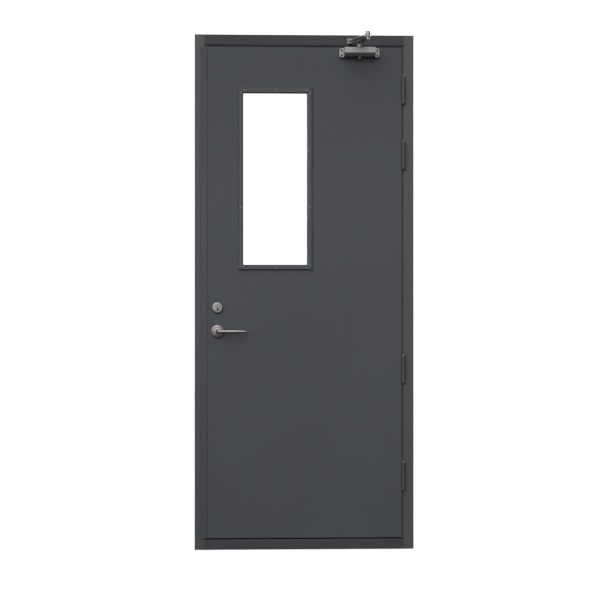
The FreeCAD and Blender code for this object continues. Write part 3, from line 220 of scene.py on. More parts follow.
class Finish:
    """Material with one shader, whose nodes are added step by step."""

    def __init__(self, name):
        self.material = bpy.data.materials.new(name)
        self.material.use_nodes = True
        self.tree = self.material.node_tree
        self.shader = self.tree.nodes["Principled BSDF"]
        self.place = self.add("ShaderNodeTexCoord").outputs["Object"]

    def add(self, kind, **settings):
        node = self.tree.nodes.new(kind)
        for name, value in settings.items():
            setattr(node, name, value)
        return node

    def put(self, socket, value):
        """Sets a socket to a value, or links it where the value is a socket itself."""
        if isinstance(value, bpy.types.NodeSocket):
            self.tree.links.new(value, socket)
        else:
            socket.default_value = value

    def feed(self, node, **values):
        """Fills inputs by name, with spaces written as underscores."""
        for name, value in values.items():
            self.put(node.inputs[name.replace("_", " ")], value)

    def set(self, **values):
        self.feed(self.shader, **values)

    def stretched(self, scale):
        """Object coordinates scaled differently along X, Y and Z."""
        mapping = self.add("ShaderNodeMapping")
        self.feed(mapping, Vector=self.place, Scale=scale)
        return mapping.outputs["Vector"]

    def along(self, axis):
        """Distance along one axis, in metres."""
        node = self.add("ShaderNodeSeparateXYZ")
        self.put(node.inputs[0], self.place)
        return node.outputs[axis]

    def from_axis(self, centre):
        """Distance from a line along Y through a centre given as (x, z)."""
        mapping = self.add("ShaderNodeMapping")
        shift = (-centre[0], 0.0, -centre[1])
        self.feed(mapping, Vector=self.place, Location=shift, Scale=(1.0, 0.0, 1.0))
        length = self.add("ShaderNodeVectorMath", operation="LENGTH")
        self.put(length.inputs[0], mapping.outputs["Vector"])
        return length.outputs["Value"]

    def noise(self, scale, detail=3.0, roughness=0.5, place=None):
        node = self.add("ShaderNodeTexNoise")
        self.feed(node, Vector=place or self.place, Scale=scale, Detail=detail, Roughness=roughness)
        return node.outputs["Fac"]

    def spread(self, value, low, high, to_low=0.0, to_high=1.0):
        """Value between low and high, stretched to lie between to_low and to_high."""
        node = self.add("ShaderNodeMapRange")
        self.feed(node, Value=value, From_Min=low, From_Max=high, To_Min=to_low, To_Max=to_high)
        return node.outputs["Result"]

    def maths(self, operation, first, second=0.0):
        node = self.add("ShaderNodeMath", operation=operation)
        self.put(node.inputs[0], first)
        self.put(node.inputs[1], second)
        return node.outputs[0]

    def blend(self, amount, first, second):
        """Mix of two colours, each given as (red, green, blue) or as a socket."""
        node = self.add("ShaderNodeMix", data_type="RGBA")
        self.put(node.inputs["Factor"], amount)
        for number, colour in ((MIX_FIRST, first), (MIX_SECOND, second)):
            self.put(node.inputs[number], (*colour, 1.0) if isinstance(colour, tuple) else colour)
        return node.outputs[MIX_RESULT]

    def bump(self, height, distance, over=None):
        """Bump of a depth in metres, over another one if given."""
        node = self.add("ShaderNodeBump")
        self.feed(node, Height=height, Distance=distance, Strength=1.0)
        if over:
            self.put(node.inputs["Normal"], over)
        return node.outputs["Normal"]


def dress(names, finish):
    """Gives a finish to CAD pieces."""
    for name in names:
        mesh = nodes[name].data
        mesh.materials.clear()
        mesh.materials.append(finish.material)


def shade(colour, factor):
    """Colour made darker or lighter by a factor."""
    return tuple(factor * v for v in colour)


print("a finish can take", [step for step in vars(Finish) if not step.startswith("_")])

# %% [markdown]
# The leaf and its frame have a dark grey satin paint. Sprayed paint on sheet metal is never one
# grey: it clouds over an arm's length, has the fine ripple called orange peel, and hands and
# trolleys rub it duller. Noise at several sizes gives those things. In the picture the head and the
# sill are darker than the jambs, and the leaf gets darker towards its top. Whether that is paint or
# light can't be told. Here it sits in the paint: head and sill have a darker one, and the sheen
# fades with height on all but the jambs. A sheen that stays the same is set on the shader itself.

# %% Grey paint
FADE_FROM, FADE_TO = 1.45, 1.95  # heights between which the sheen fades, in metres
ORANGE_PEEL, SHEET_WAVE = 0.00006, 0.0005  # depths of the fine and the broad ripple, in metres
CLOUD_SHARE, RUB_SHARE, STREAK_SHARE = 0.75, 0.35, 0.22


def grey_paint(name, dark, light, sheen, top_sheen, streaky=STREAK_SHARE):
    paint = Finish(name)
    cloud = paint.maths("MULTIPLY", paint.noise(1.6, detail=2.0), CLOUD_SHARE)
    mottle = paint.noise(38.0, detail=4.0, roughness=0.6)
    drift = paint.maths("ADD", cloud, paint.maths("MULTIPLY", mottle, 1 - CLOUD_SHARE))
    colour = paint.blend(paint.spread(drift, 0.35, 0.65), dark, light)
    rubs = paint.noise(7.0, detail=6.0, roughness=0.65, place=paint.stretched((1.0, 1.0, 0.35)))
    rubbed = paint.spread(rubs, 0.58, 0.8)
    colour = paint.blend(paint.maths("MULTIPLY", rubbed, RUB_SHARE), colour, shade(light, 1.5))
    upright = paint.stretched((1.0, 1.0, 0.04))
    streaked = paint.spread(paint.noise(26.0, detail=5.0, roughness=0.7, place=upright), 0.56, 0.74)
    colour = paint.blend(paint.maths("MULTIPLY", streaked, streaky), colour, shade(dark, 0.6))
    gloss = paint.spread(drift, 0.3, 0.7, to_low=0.44, to_high=0.56)
    gloss = paint.maths("ADD", gloss, paint.maths("MULTIPLY", rubbed, 0.14))
    peel = paint.bump(paint.noise(420.0, detail=2.0), ORANGE_PEEL)
    skin = paint.bump(paint.noise(5.0, detail=1.0), SHEET_WAVE, over=peel)
    paint.set(Base_Color=colour, Roughness=gloss, Specular_IOR_Level=sheen, Normal=skin)
    if top_sheen != sheen:
        fade = paint.spread(paint.along("Z"), FADE_FROM, FADE_TO, sheen, top_sheen)
        paint.set(Specular_IOR_Level=fade)
    return paint


leaf_paint = grey_paint(
    "leaf_paint", (0.0148, 0.0178, 0.0225), (0.019, 0.0225, 0.028), sheen=0.36, top_sheen=0.27
)
frame_paint = grey_paint(
    "frame_paint", (0.0165, 0.0178, 0.0208), (0.021, 0.0225, 0.0255), sheen=0.42, top_sheen=0.42
)
cross_paint = grey_paint(
    "cross_paint", (0.0115, 0.0125, 0.0155), (0.015, 0.0162, 0.019), sheen=0.32, top_sheen=0.24
)
trim_greys = (0.0165, 0.019, 0.0225), (0.0205, 0.0235, 0.028)
trim_paint = grey_paint("trim_paint", *trim_greys, sheen=0.38, top_sheen=0.34, streaky=0.0)
# A paler grey for the screw heads of the window trim.
pale_screw_paint = grey_paint(
    "pale_trim_screw_paint", (0.05, 0.051, 0.052), (0.1, 0.101, 0.102), sheen=0.5, top_sheen=0.5
)
hinge_halves = [f"hinge_{n}_{side}_half" for n in range(1, 5) for side in ("frame", "leaf")]
painted = {
    frame_paint: ["lock_jamb", "hinge_jamb"] + hinge_halves,
    cross_paint: ["frame_head", "frame_sill"],
    leaf_paint: ["leaf_front_skin", "leaf_back_skin", "lock_edge_strip"],
    trim_paint: ["vision_trim_front", "vision_trim_back"],
}
for paint, names in painted.items():
    dress(names, paint)
    print(paint.material.name, "on", len(names), "pieces")

# %% [markdown]
# The closer is a casting under silver grey paint, with a coarser skin than the sheet metal. The
# lever, roses and lock plates are stainless steel with a satin grain. The grain runs along the
# lever, upright on the plates and in rings on what a lathe has turned. One helper makes the steel,
# and a small function says how its lines run.

# %% Silver paint and stainless steel
GRAIN_ALONG, GRAIN_ACROSS = 4.0, 400.0
RING_TURNS, RING_WOBBLE = 9000.0, 0.0012


def silver_paint(name, dark, light):
    paint = Finish(name)
    cloud = paint.noise(22.0, detail=4.0)
    grime = paint.spread(paint.noise(60.0, detail=6.0, roughness=0.7), 0.55, 0.8)
    colour = paint.blend(cloud, dark, light)
    colour = paint.blend(paint.maths("MULTIPLY", grime, 0.5), colour, shade(dark, 0.5))
    gloss = paint.spread(cloud, 0.3, 0.7, to_low=0.32, to_high=0.46)
    skin = paint.bump(paint.noise(900.0, detail=2.0), 0.00006)
    paint.set(Base_Color=colour, Roughness=gloss, Metallic=0.5, Normal=skin)
    return paint


def satin_steel(name, pattern, light=(0.2, 0.183, 0.186), dark=(0.145, 0.132, 0.136)):
    """Steel whose fine lines follow a pattern, a function that returns their height."""
    steel = Finish(name)
    lines = pattern(steel)
    cloud = steel.noise(45.0, detail=3.0)
    smudge = steel.spread(steel.noise(16.0, detail=5.0, roughness=0.6), 0.5, 0.75)
    colour = steel.blend(steel.maths("MULTIPLY", lines, cloud), light, dark)
    gloss = steel.spread(lines, 0.3, 0.7, to_low=0.4, to_high=0.52)
    gloss = steel.maths("ADD", gloss, steel.maths("MULTIPLY", smudge, 0.1))
    steel.set(Base_Color=colour, Roughness=gloss, Metallic=1.0, Normal=steel.bump(lines, 0.00002))
    return steel


def brushed(*scale):
    return lambda steel: steel.noise(6.0, detail=6.0, roughness=0.7, place=steel.stretched(scale))


def turned_about(x, z):
    """Rings about an axis along Y, as the tool of a lathe leaves them."""

    def rings(steel):
        wobble = steel.maths("MULTIPLY", steel.noise(30.0, detail=3.0), RING_WOBBLE)
        radius = steel.maths("ADD", steel.from_axis((x, z)), wobble)
        wave = steel.maths("SINE", steel.maths("MULTIPLY", radius, RING_TURNS))
        fine = steel.maths("MULTIPLY", steel.noise(900.0, detail=2.0), 0.4)
        return steel.maths("ADD", steel.spread(wave, -1.0, 1.0, to_low=0.2, to_high=0.6), fine)

    return rings


print("grain", GRAIN_ACROSS / GRAIN_ALONG, "times finer across than along")

# %% Silver and steel pieces
LEVER_X = -0.354
spindle_low, spindle_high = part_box("lever_spindle")
key_low, key_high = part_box("lock_cylinder")
lever_z = (spindle_low.z + spindle_high.z) / 2
key_z = (key_low.z + key_high.z) / 2

closer_paint = silver_paint("silver_paint", (0.138, 0.136, 0.142), (0.175, 0.173, 0.18))
# The arms and spindle get a lighter copy of the closer's silver: painted light, standing in for the
# light that catches the arms' edges.
arms_lighter_silver = silver_paint("arms_silver_painted_light", (0.19, 0.188, 0.196), (0.235, 0.232, 0.24))
dress([name for name in nodes if name.startswith("closer")], closer_paint)
dress(["closer_main_arm", "closer_forearm", "closer_spindle"], arms_lighter_silver)

lever_steel = satin_steel("lever_steel", brushed(GRAIN_ALONG, GRAIN_ACROSS, GRAIN_ACROSS))
lever_rings = satin_steel("lever_rose_steel", turned_about(LEVER_X, lever_z))
key_rings = satin_steel("cylinder_steel", turned_about(LEVER_X, key_z))
upright_grain = brushed(GRAIN_ACROSS, GRAIN_ACROSS, GRAIN_ALONG)
plate_steel = satin_steel("plate_steel", upright_grain, (0.4, 0.385, 0.38), (0.3, 0.285, 0.28))
dress(["lever_front", "lever_back", "lever_spindle"], lever_steel)
dress(["handle_rose_front", "handle_rose_back"], lever_rings)
dress(["cylinder_rose_front", "cylinder_rose_back", "lock_cylinder"], key_rings)
plates = ["lock_faceplate", "strike_plate", "latch_bolt", "dead_bolt"]
dress(plates + [f"hinge_{n}_pin" for n in range(1, 5)], plate_steel)
print("lever at", round(lever_z, 3), "m and cylinder at", round(key_z, 3), "m")

# %% [markdown]
# Three more materials belong to the door: a clear fire glass, a black rubber seal on the stop and
# round the glass, and a board of mineral wool in the leaf, which shows only where the lock and the
# window are cut through it. Each is the same few steps with scales of its own: a wide haze on the
# glass, dust in specks on the rubber, and long fibres in the board.

# %% Glass, rubber and mineral board


def fire_glass():
    glass = Finish("fire_glass")
    haze = glass.noise(12.0, detail=5.0, roughness=0.6)
    glass.set(
        Base_Color=(0.975, 0.99, 0.985, 1.0),
        Roughness=glass.spread(haze, 0.4, 0.8, to_low=0.0, to_high=0.06),
        IOR=1.5,
        Transmission_Weight=1.0,
        Normal=glass.bump(glass.noise(3.0, detail=1.0), 0.0002),
    )
    return glass


def rubber(name, black, dusty):
    seal = Finish(name)
    dust = seal.spread(seal.noise(90.0, detail=6.0, roughness=0.7), 0.5, 0.8)
    colour = seal.blend(seal.maths("MULTIPLY", dust, 0.5), black, dusty)
    gloss = seal.spread(dust, 0, 1, to_low=0.55, to_high=0.8)
    seal.set(Base_Color=colour, Roughness=gloss, Normal=seal.bump(dust, 0.00005))
    return seal


def mineral_board():
    board = Finish("mineral_board")
    lying = board.stretched((1.0, 6.0, 1.0))
    fibres = board.noise(60.0, detail=8.0, roughness=0.75, place=lying)
    colour = board.blend(fibres, (0.3, 0.26, 0.16), (0.55, 0.5, 0.38))
    board.set(Base_Color=colour, Roughness=0.95, Normal=board.bump(fibres, 0.0012))
    return board


seal_rubber = rubber("seal_rubber", (0.012, 0.012, 0.013), (0.05, 0.048, 0.045))
dress(["glass_pane"], fire_glass())
dress(["frame_seal", "glazing_gasket_front", "glazing_gasket_back"], seal_rubber)
dress(["leaf_core"], mineral_board())
print("dressed", sum(1 for n in nodes.values() if n.data.materials), "of", len(nodes))

# %% [markdown]
# Screws come by the dozen, so a head is drawn once and set many times. Two heads are enough: one
# with a cross, and one with a six-sided socket for the closer. A head is rings that step down
# from the flat top to the rim, with the outline of its recess cut into the top.

# %% Screw heads
MM = 0.001
HEAD_SIDES, HEAD_TOP = 24, 0.2
DOME = ((0.36, HEAD_TOP), (0.45, 0.15), (0.495, 0.07), (0.5, -0.05))  # radius, height
RECESS_TAPER = 0.85


def smooth(mesh, angle):
    """Smooth shading with the edges kept that are sharper than an angle in degrees."""
    mesh.shade_smooth()
    mesh.set_sharp_from_angle(angle=math.radians(angle))


def wall(shape, first, second):
    """Faces between two rings of points."""
    for step in range(len(first)):
        follow = (step + 1) % len(first)
        shape.faces.new((first[step], first[follow], second[follow], second[step]))


def outlines(shape, *loops):
    """Edges round each loop of points."""
    edges = []
    for loop in loops:
        for step, vert in enumerate(loop):
            edges.append(shape.edges.new((vert, loop[(step + 1) % len(loop)])))
    return edges


def to_mesh(shape, name):
    """Mesh of a finished shape, with its faces pointing outwards."""
    bmesh.ops.recalc_face_normals(shape, faces=shape.faces)
    mesh = bpy.data.meshes.new(name)
    shape.to_mesh(mesh)
    shape.free()
    return mesh


def screw_head(name, recess, recess_floor):
    """Domed head of unit diameter with a recess, on the XY plane and facing +Z.

    recess is the outline of the recess, and recess_floor is the height of its floor.
    """
    shape = bmesh.new()
    top = [shape.verts.new((*point, HEAD_TOP)) for point in recess]
    tapered = [(point.x * RECESS_TAPER, point.y * RECESS_TAPER, recess_floor) for point in recess]
    sunk = [shape.verts.new(place) for place in tapered]
    turns = [step * math.tau / HEAD_SIDES for step in range(HEAD_SIDES)]
    rings = []
    for radius, height in DOME:
        circle = [(radius * math.cos(turn), radius * math.sin(turn), height) for turn in turns]
        rings.append([shape.verts.new(place) for place in circle])
    bmesh.ops.triangle_fill(shape, use_beauty=True, edges=outlines(shape, top, rings[0]))
    for outer, inner in [*zip(rings[1:], rings), (top, sunk)]:
        wall(shape, outer, inner)
    shape.faces.new(sunk)
    mesh = to_mesh(shape, name)
    smooth(mesh, 35.0)
    return bpy.data.objects.new(name, mesh)


def turned_copies(points, count):
    """The points, turned count times round the middle."""
    turns = [Matrix.Rotation(copy * math.tau / count, 2) for copy in range(count)]
    return [turn @ Vector(point) for turn in turns for point in points]


cross = turned_copies([(0.27, -0.055), (0.27, 0.055), (0.055, 0.055)], 4)
hexagon = turned_copies([(0.25, 0.0)], 6)
cross_head = screw_head("cross_head", cross, recess_floor=0.02)
socket_head = screw_head("socket_head", hexagon, recess_floor=0.0)
print("screw heads", len(cross_head.data.polygons), "and", len(socket_head.data.polygons), "faces")

# %% [markdown]
# Geometry Nodes set the heads: a cloud of points says where the screws sit, and the tree puts a
# head on every point, turned by a random amount as a screwdriver leaves it. Its inputs are the
# head, its diameter, how far it rises, the way it faces, a seed and its finish.

# %% A tree that sets screws
TREE_INPUTS = (
    ("Points", "Geometry"),
    ("Head", "Object"),
    ("Head Diameter", "Float"),
    ("Rise", "Float"),
    ("Facing", "Vector"),
    ("Seed", "Int"),
    ("Finish", "Material"),
)
RANDOM_MAX, RANDOM_RESULT = 3, 1  # the sockets of a Random Value node that gives decimals


def screw_setter():
    tree = bpy.data.node_groups.new("set_screws", "GeometryNodeTree")
    for label, kind in TREE_INPUTS:
        tree.interface.new_socket(label, in_out="INPUT", socket_type="NodeSocket" + kind)
    tree.interface.new_socket("Screws", in_out="OUTPUT", socket_type="NodeSocketGeometry")
    add = tree.nodes.new
    link = tree.links.new
    given = add("NodeGroupInput")
    head = add("GeometryNodeObjectInfo")
    link(given.outputs["Head"], head.inputs["Object"])
    spin = add("FunctionNodeRandomValue")
    spin.data_type = "FLOAT"
    spin.inputs[RANDOM_MAX].default_value = math.tau
    link(given.outputs["Seed"], spin.inputs["Seed"])
    about = add("ShaderNodeCombineXYZ")
    link(spin.outputs[RANDOM_RESULT], about.inputs["Z"])
    turned = add("FunctionNodeEulerToRotation")
    link(about.outputs[0], turned.inputs[0])
    base = add("FunctionNodeEulerToRotation")
    link(given.outputs["Facing"], base.inputs[0])
    both = add("FunctionNodeRotateRotation")
    both.rotation_space = "LOCAL"
    link(base.outputs[0], both.inputs[0])
    link(turned.outputs[0], both.inputs[1])
    rise = add("ShaderNodeMath")
    rise.operation = "MULTIPLY"
    link(given.outputs["Head Diameter"], rise.inputs[0])
    link(given.outputs["Rise"], rise.inputs[1])
    size = add("ShaderNodeCombineXYZ")
    link(given.outputs["Head Diameter"], size.inputs["X"])
    link(given.outputs["Head Diameter"], size.inputs["Y"])
    link(rise.outputs[0], size.inputs["Z"])
    place = add("GeometryNodeInstanceOnPoints")
    link(given.outputs["Points"], place.inputs["Points"])
    link(head.outputs["Geometry"], place.inputs["Instance"])
    link(both.outputs[0], place.inputs["Rotation"])
    link(size.outputs[0], place.inputs["Scale"])
    real = add("GeometryNodeRealizeInstances")
    link(place.outputs[0], real.inputs[0])
    coat = add("GeometryNodeSetMaterial")
    link(real.outputs[0], coat.inputs["Geometry"])
    link(given.outputs["Finish"], coat.inputs["Material"])
    out = add("NodeGroupOutput")
    link(coat.outputs[0], out.inputs[0])
    return tree


set_screws = screw_setter()
print("tree of", len(set_screws.nodes), "nodes with", len(TREE_INPUTS), "inputs")

# %% [markdown]
# The tree runs as a modifier on an object that is only a cloud of points. Its inputs are set by
# their identifiers before it is first evaluated. The result is made a plain mesh, one for each
# moving body, because instances and live modifiers don't go into the exported model.

# %% Run the tree
FACING = {
    "front": (math.pi / 2, 0, 0),
    "back": (-math.pi / 2, 0, 0),
    "left": (0, -math.pi / 2, 0),
    "right": (0, math.pi / 2, 0),
    "up": (0, 0, 0),
}
SEED_START = 7


def grow(name, tree, points, values):
    """Runs a tree on a cloud of points and returns its result as a plain mesh object."""
    cloud = bpy.data.meshes.new(name + "_points")
    cloud.from_pydata(points, [], [])
    carrier = bpy.data.objects.new(name, cloud)
    bpy.context.collection.objects.link(carrier)
    modifier = carrier.modifiers.new("grow", "NODES")
    modifier.node_group = tree
    for item in tree.interface.items_tree:
        if item.in_out == "INPUT" and item.name in values:
            modifier[item.identifier] = values[item.name]
    grown = carrier.evaluated_get(bpy.context.evaluated_depsgraph_get())
    mesh = bpy.data.meshes.new_from_object(grown)
    carrier.modifiers.remove(modifier)
    carrier.data = mesh
    bpy.data.meshes.remove(cloud)
    return carrier


def screws(name, body, points, facing, diameter, finish, rise, head=cross_head):
    """Screws at points. rise is the height of a head, as a share of its plain height."""
    values = {
        "Head": head,
        "Head Diameter": diameter,
        "Rise": rise,
        "Facing": FACING[facing],
        "Seed": len(points) + SEED_START,
        "Finish": finish.material,
    }
    piece = grow(name, set_screws, points, values)
    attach(piece, body)
    print(name, len(points), "screws,", len(piece.data.polygons), "faces")


print("screws can face", list(FACING))

# %% [markdown]
# The trim round the window is held by small screws, whose heads have a paler grey paint than the
# leaf. In the picture pale specks show at its corners, at the middle of the lower side and at one
# place on the right. The others are set by symmetry: four screws on each long side and three on
# each short one.

# %% Screws round the window
trim_low, trim_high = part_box("vision_trim_front")
trim_back_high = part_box("vision_trim_back")[1]
TRIM_SCREW, TRIM_RISE = 6.5 * MM, 0.45
TRIM_INSET = 10 * MM  # from the outer edge of the trim
TRIM_CORNER = 12 * MM  # from one corner screw's line to the first screw along the side
LONG_SIDE = 4


def trim_places(y):
    left, right = trim_low.x + TRIM_INSET, trim_high.x - TRIM_INSET
    low, high = trim_low.z + TRIM_INSET, trim_high.z - TRIM_INSET
    run = high - low - 2 * TRIM_CORNER
    heights = [low + TRIM_CORNER + run * step / (LONG_SIDE - 1) for step in range(LONG_SIDE)]
    widths = [left + TRIM_CORNER, (left + right) / 2, right - TRIM_CORNER]
    uprights = [(x, y, z) for x in (left, right) for z in heights]
    return uprights + [(x, y, z) for z in (low, high) for x in widths]


for name, y, facing in (
    ("trim_screws_front", trim_low.y, "front"),
    ("trim_screws_back", trim_back_high.y, "back"),
):
    screws(name, "leaf", trim_places(y), facing, TRIM_SCREW, pale_screw_paint, TRIM_RISE)

# %% [markdown]
# The end caps of the closer are held by domed black screws. Two valve screws in its end set its
# speed, and sockets close its spindle and the elbow of its arms. The shoe has silver screws. The
# valves and the sockets can't be read in the picture, and are there because such closers have them.

# %% Screws of the closer
ELBOW_X, ELBOW_Y = 0.241, -0.29
SPINDLE_X, SPINDLE_Y = 0.2245, -0.084
SHOE_PLATE_FRONT = -60 * MM
black_steel = satin_steel(
    "black_screw_steel", brushed(60.0, 60.0, 60.0), (0.06, 0.058, 0.056), (0.03, 0.029, 0.028)
)


def black_screws(name, body, places, facing, diameter, rise, head=cross_head):
    screws(name, body, places, facing, diameter, black_steel, rise, head)


for side in ("left", "right"):
    low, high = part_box(f"closer_end_cap_{side}")
    middle = (low.x + high.x) / 2
    places = [(middle, low.y, low.z + 9.5 * MM), (middle, low.y, high.z - 9.5 * MM)]
    black_screws(f"closer_screws_{side}", "leaf", places, "front", 8.5 * MM, 0.9)

low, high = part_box("closer_body")
places = [(high.x, low.y + 22 * MM, z) for z in (low.z + 12 * MM, high.z - 12 * MM)]
black_screws("closer_valves", "leaf", places, "right", 7 * MM, 0.5, socket_head)
low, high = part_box("closer_forearm")
places = [(ELBOW_X, ELBOW_Y, high.z - 0.4 * MM)]
black_screws("elbow_socket", "forearm", places, "up", 12 * MM, 0.16, socket_head)
low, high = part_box("closer_spindle")
places = [(SPINDLE_X, SPINDLE_Y, high.z)]
black_screws("spindle_socket", "leaf", places, "up", 9 * MM, 0.15, socket_head)

low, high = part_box("closer_shoe")
places = [(x, SHOE_PLATE_FRONT, high.z - 6 * MM) for x in (low.x + 6 * MM, high.x - 6 * MM)]
screws("shoe_screws", "frame", places, "front", 7 * MM, closer_paint, 0.8)

# %% [markdown]
# The lock plates and the hinges have flat steel screws, which stand proud by less than a
# millimetre. Those of a hinge half sit in two staggered rows, as such hinges are drilled. On the
# closed door they are hidden, so their number and their rows are a guess.

# %% Screws of the lock and the hinges
EDGE_SLANT = 0.05  # the lock edge of the leaf is cut back by this share of its width
FRAME_HINGE_FACE, LEAF_HINGE_FACE = 405.5 * MM, 400.5 * MM
HINGE_ROWS = ((0.14, 6), (0.38, 14), (0.62, 6), (0.86, 14))  # share of the height, mm from the back


def steel_screws(name, body, places, facing, diameter, rise):
    screws(name, body, places, facing, diameter, plate_steel, rise)


low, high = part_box("lock_faceplate")
strike_low, strike_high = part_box("strike_plate")
middle_y = (low.y + high.y) / 2
slant = (high.y - low.y) * 0.5 * EDGE_SLANT
places = [(low.x + slant, middle_y, z) for z in (low.z + 10 * MM, high.z - 10 * MM)]
steel_screws("faceplate_screws", "leaf", places, "left", 7 * MM, 0.3)
places = [(strike_high.x, middle_y, z) for z in (strike_low.z + 9 * MM, strike_high.z - 9 * MM)]
steel_screws("strike_screws", "frame", places, "right", 7 * MM, 0.3)

hinge_places = []
for number in range(1, 5):
    low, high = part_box(f"hinge_{number}_frame_half")
    for share, shift in HINGE_ROWS:
        hinge_places.append((high.y - shift * MM, low.z + (high.z - low.z) * share))
frame_places = [(FRAME_HINGE_FACE, y, z) for y, z in hinge_places]
leaf_places = [(LEAF_HINGE_FACE, y, z) for y, z in hinge_places]
steel_screws("hinge_screws_frame", "frame", frame_places, "left", 6.5 * MM, 0.25)
steel_screws("hinge_screws_leaf", "leaf", leaf_places, "right", 6.5 * MM, 0.25)

# %% [markdown]
# No pressed, sawn or cast edge is sharp. A narrow round on every edge catches the light and is what
# makes a casting look cast, so each of these pieces is copied from the model, its flat faces are
# joined again, and its edges get a bevel whose width suits how it is made: broad on castings, fine
# on turned and sawn steel. Only outer edges get one: it takes material away, so no piece grows.
# Smooth shading would bend the light on the flat faces beside a bevel, so the normals are weighted
# by face size.

# %% Widths of the rounds, in millimetres
SOFT_EDGES = {
    "closer_body": 0.8,
    "closer_end_cap_left": 1.0,
    "closer_end_cap_right": 1.0,
    "closer_bottom_cap": 0.8,
    "closer_main_arm": 1.3,
    "closer_forearm": 1.1,
    "closer_shoe": 1.0,
    "vision_trim_front": 0.5,
    "vision_trim_back": 0.5,
    "lock_edge_strip": 0.8,
    "cylinder_rose_front": 0.4,
    "cylinder_rose_back": 0.4,
    "lock_cylinder": 0.35,
    "lock_faceplate": 0.4,
    "strike_plate": 0.4,
    "latch_bolt": 0.5,
    "dead_bolt": 0.5,
}
for half in hinge_halves:
    SOFT_EDGES[half] = 0.5
print("to be rounded:", len(SOFT_EDGES), "pieces")

# %% Soft edges
WELD = 1e-6
FLAT_ANGLE, SHARP_ANGLE = 0.8, 28
FULL_WEIGHT = 100
record = frame["record"]
body_of = {node: body for body, held in record["behaviour"]["bodies"].items() for node in held}


def soften(name, width):
    """Copy of a CAD piece with its sharp outer edges rounded. width is in millimetres."""
    source = nodes[name]
    shape = bmesh.new()
    shape.from_mesh(source.data)
    bmesh.ops.remove_doubles(shape, verts=shape.verts, dist=WELD)
    flat = math.radians(FLAT_ANGLE)
    bmesh.ops.dissolve_limit(shape, angle_limit=flat, verts=shape.verts, edges=shape.edges)
    limit = math.radians(SHARP_ANGLE)
    sharp = [e for e in shape.edges if e.is_convex and e.calc_face_angle() > limit]
    bmesh.ops.bevel(
        shape,
        geom=sharp,
        offset=width * MM,
        segments=3,
        profile=0.5,
        affect="EDGES",
        clamp_overlap=True,
    )
    mesh = bpy.data.meshes.new(name + "_soft")
    shape.to_mesh(mesh)
    shape.free()
    smooth(mesh, 32.0)
    for material in source.data.materials:
        mesh.materials.append(material)
    piece = bpy.data.objects.new(name + "_soft", mesh)
    bpy.context.collection.objects.link(piece)
    shading = piece.modifiers.new("flat_faces", "WEIGHTED_NORMAL")
    shading.weight = FULL_WEIGHT
    shading.keep_sharp = True
    shaded = piece.evaluated_get(bpy.context.evaluated_depsgraph_get())
    piece.data = bpy.data.meshes.new_from_object(shaded)
    piece.modifiers.clear()
    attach(piece, body_of[name])
    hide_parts(name)
    return len(sharp), len(mesh.polygons)


for name, width in SOFT_EDGES.items():
    edges, faces = soften(name, width)
    print(f"{name}: {edges} edges rounded, {faces} faces")

# %% [markdown]
# The lever is bent from one bar: a thick neck eases into the bend, and the grip thins towards its
# rounded end. A swept curve would keep one section, so it is drawn as rings along that path, each
# with a radius of its own. The grip is a little flatter from front to back than it is high, so that
# it sits well in a hand.

# %% Path of the lever, in millimetres
REACH, BEND, GRIP_END = 48.0, 8.5, 120.0
NECK_RADIUS, BEND_RADIUS, EASE_FROM = 8.0, 7.0, 18.0
NECK_STEPS, BEND_STEPS, GRIP_STEPS = 9, 12, 40
CLOSE_UP = 1.6  # how much closer the rings of the grip come towards its end
EASY_UNTIL = 98.0  # up to here the radius changes gently, and from there the end closes
LEVER_RADII = [(-13.0, 7.0), (20.0, 6.9), (60.0, 7.0), (80.0, 6.5), (EASY_UNTIL, 5.7)]
LEVER_RADII += [(106.0, 5.1), (112.0, 4.2), (116.5, 3.1), (119.0, 1.8), (GRIP_END, 0.5)]


def eased(share):
    """Share from 0 to 1 that starts and ends gently."""
    return share * share * (3 - 2 * share)


def grip_radius(across):
    for (low, radius), (high, next_radius) in zip(LEVER_RADII, LEVER_RADII[1:]):
        if low <= across <= high:
            share = (across - low) / (high - low)
            if high <= EASY_UNTIL:
                share = eased(share)
            return radius + (next_radius - radius) * share


def lever_path():
    """Stations along the lever as (across, rise, heading, radius)."""
    stations = []
    neck = REACH - BEND
    for step in range(NECK_STEPS):
        rise = neck * step / NECK_STEPS
        ease = eased(max(0.0, (rise - EASE_FROM) / (neck - EASE_FROM)))
        stations.append((0.0, rise, math.pi / 2, NECK_RADIUS - (NECK_RADIUS - BEND_RADIUS) * ease))
    for step in range(BEND_STEPS + 1):
        turn = math.pi / 2 * step / BEND_STEPS
        across, rise = BEND * (1 - math.cos(turn)), neck + BEND * math.sin(turn)
        stations.append((across, rise, math.pi / 2 - turn, BEND_RADIUS))
    for step in range(1, GRIP_STEPS + 1):
        share = 1 - (1 - step / GRIP_STEPS) ** CLOSE_UP
        across = BEND + (GRIP_END - BEND) * share
        stations.append((across, REACH, 0.0, grip_radius(across)))
    return stations


print("lever path of", len(lever_path()), "stations")

# %% Levers
LEVER_SIDES = 32
FLATTER, FLATTER_OVER = 0.1, 20.0
LEAF_FRONT, LEAF_BACK = -57 * MM, -7 * MM


def tube(shape, rings):
    """Closed tube through rings of points."""
    for lower, upper in zip(rings, rings[1:]):
        wall(shape, lower, upper)
    return [shape.faces.new(rings[0]), shape.faces.new(rings[-1])]


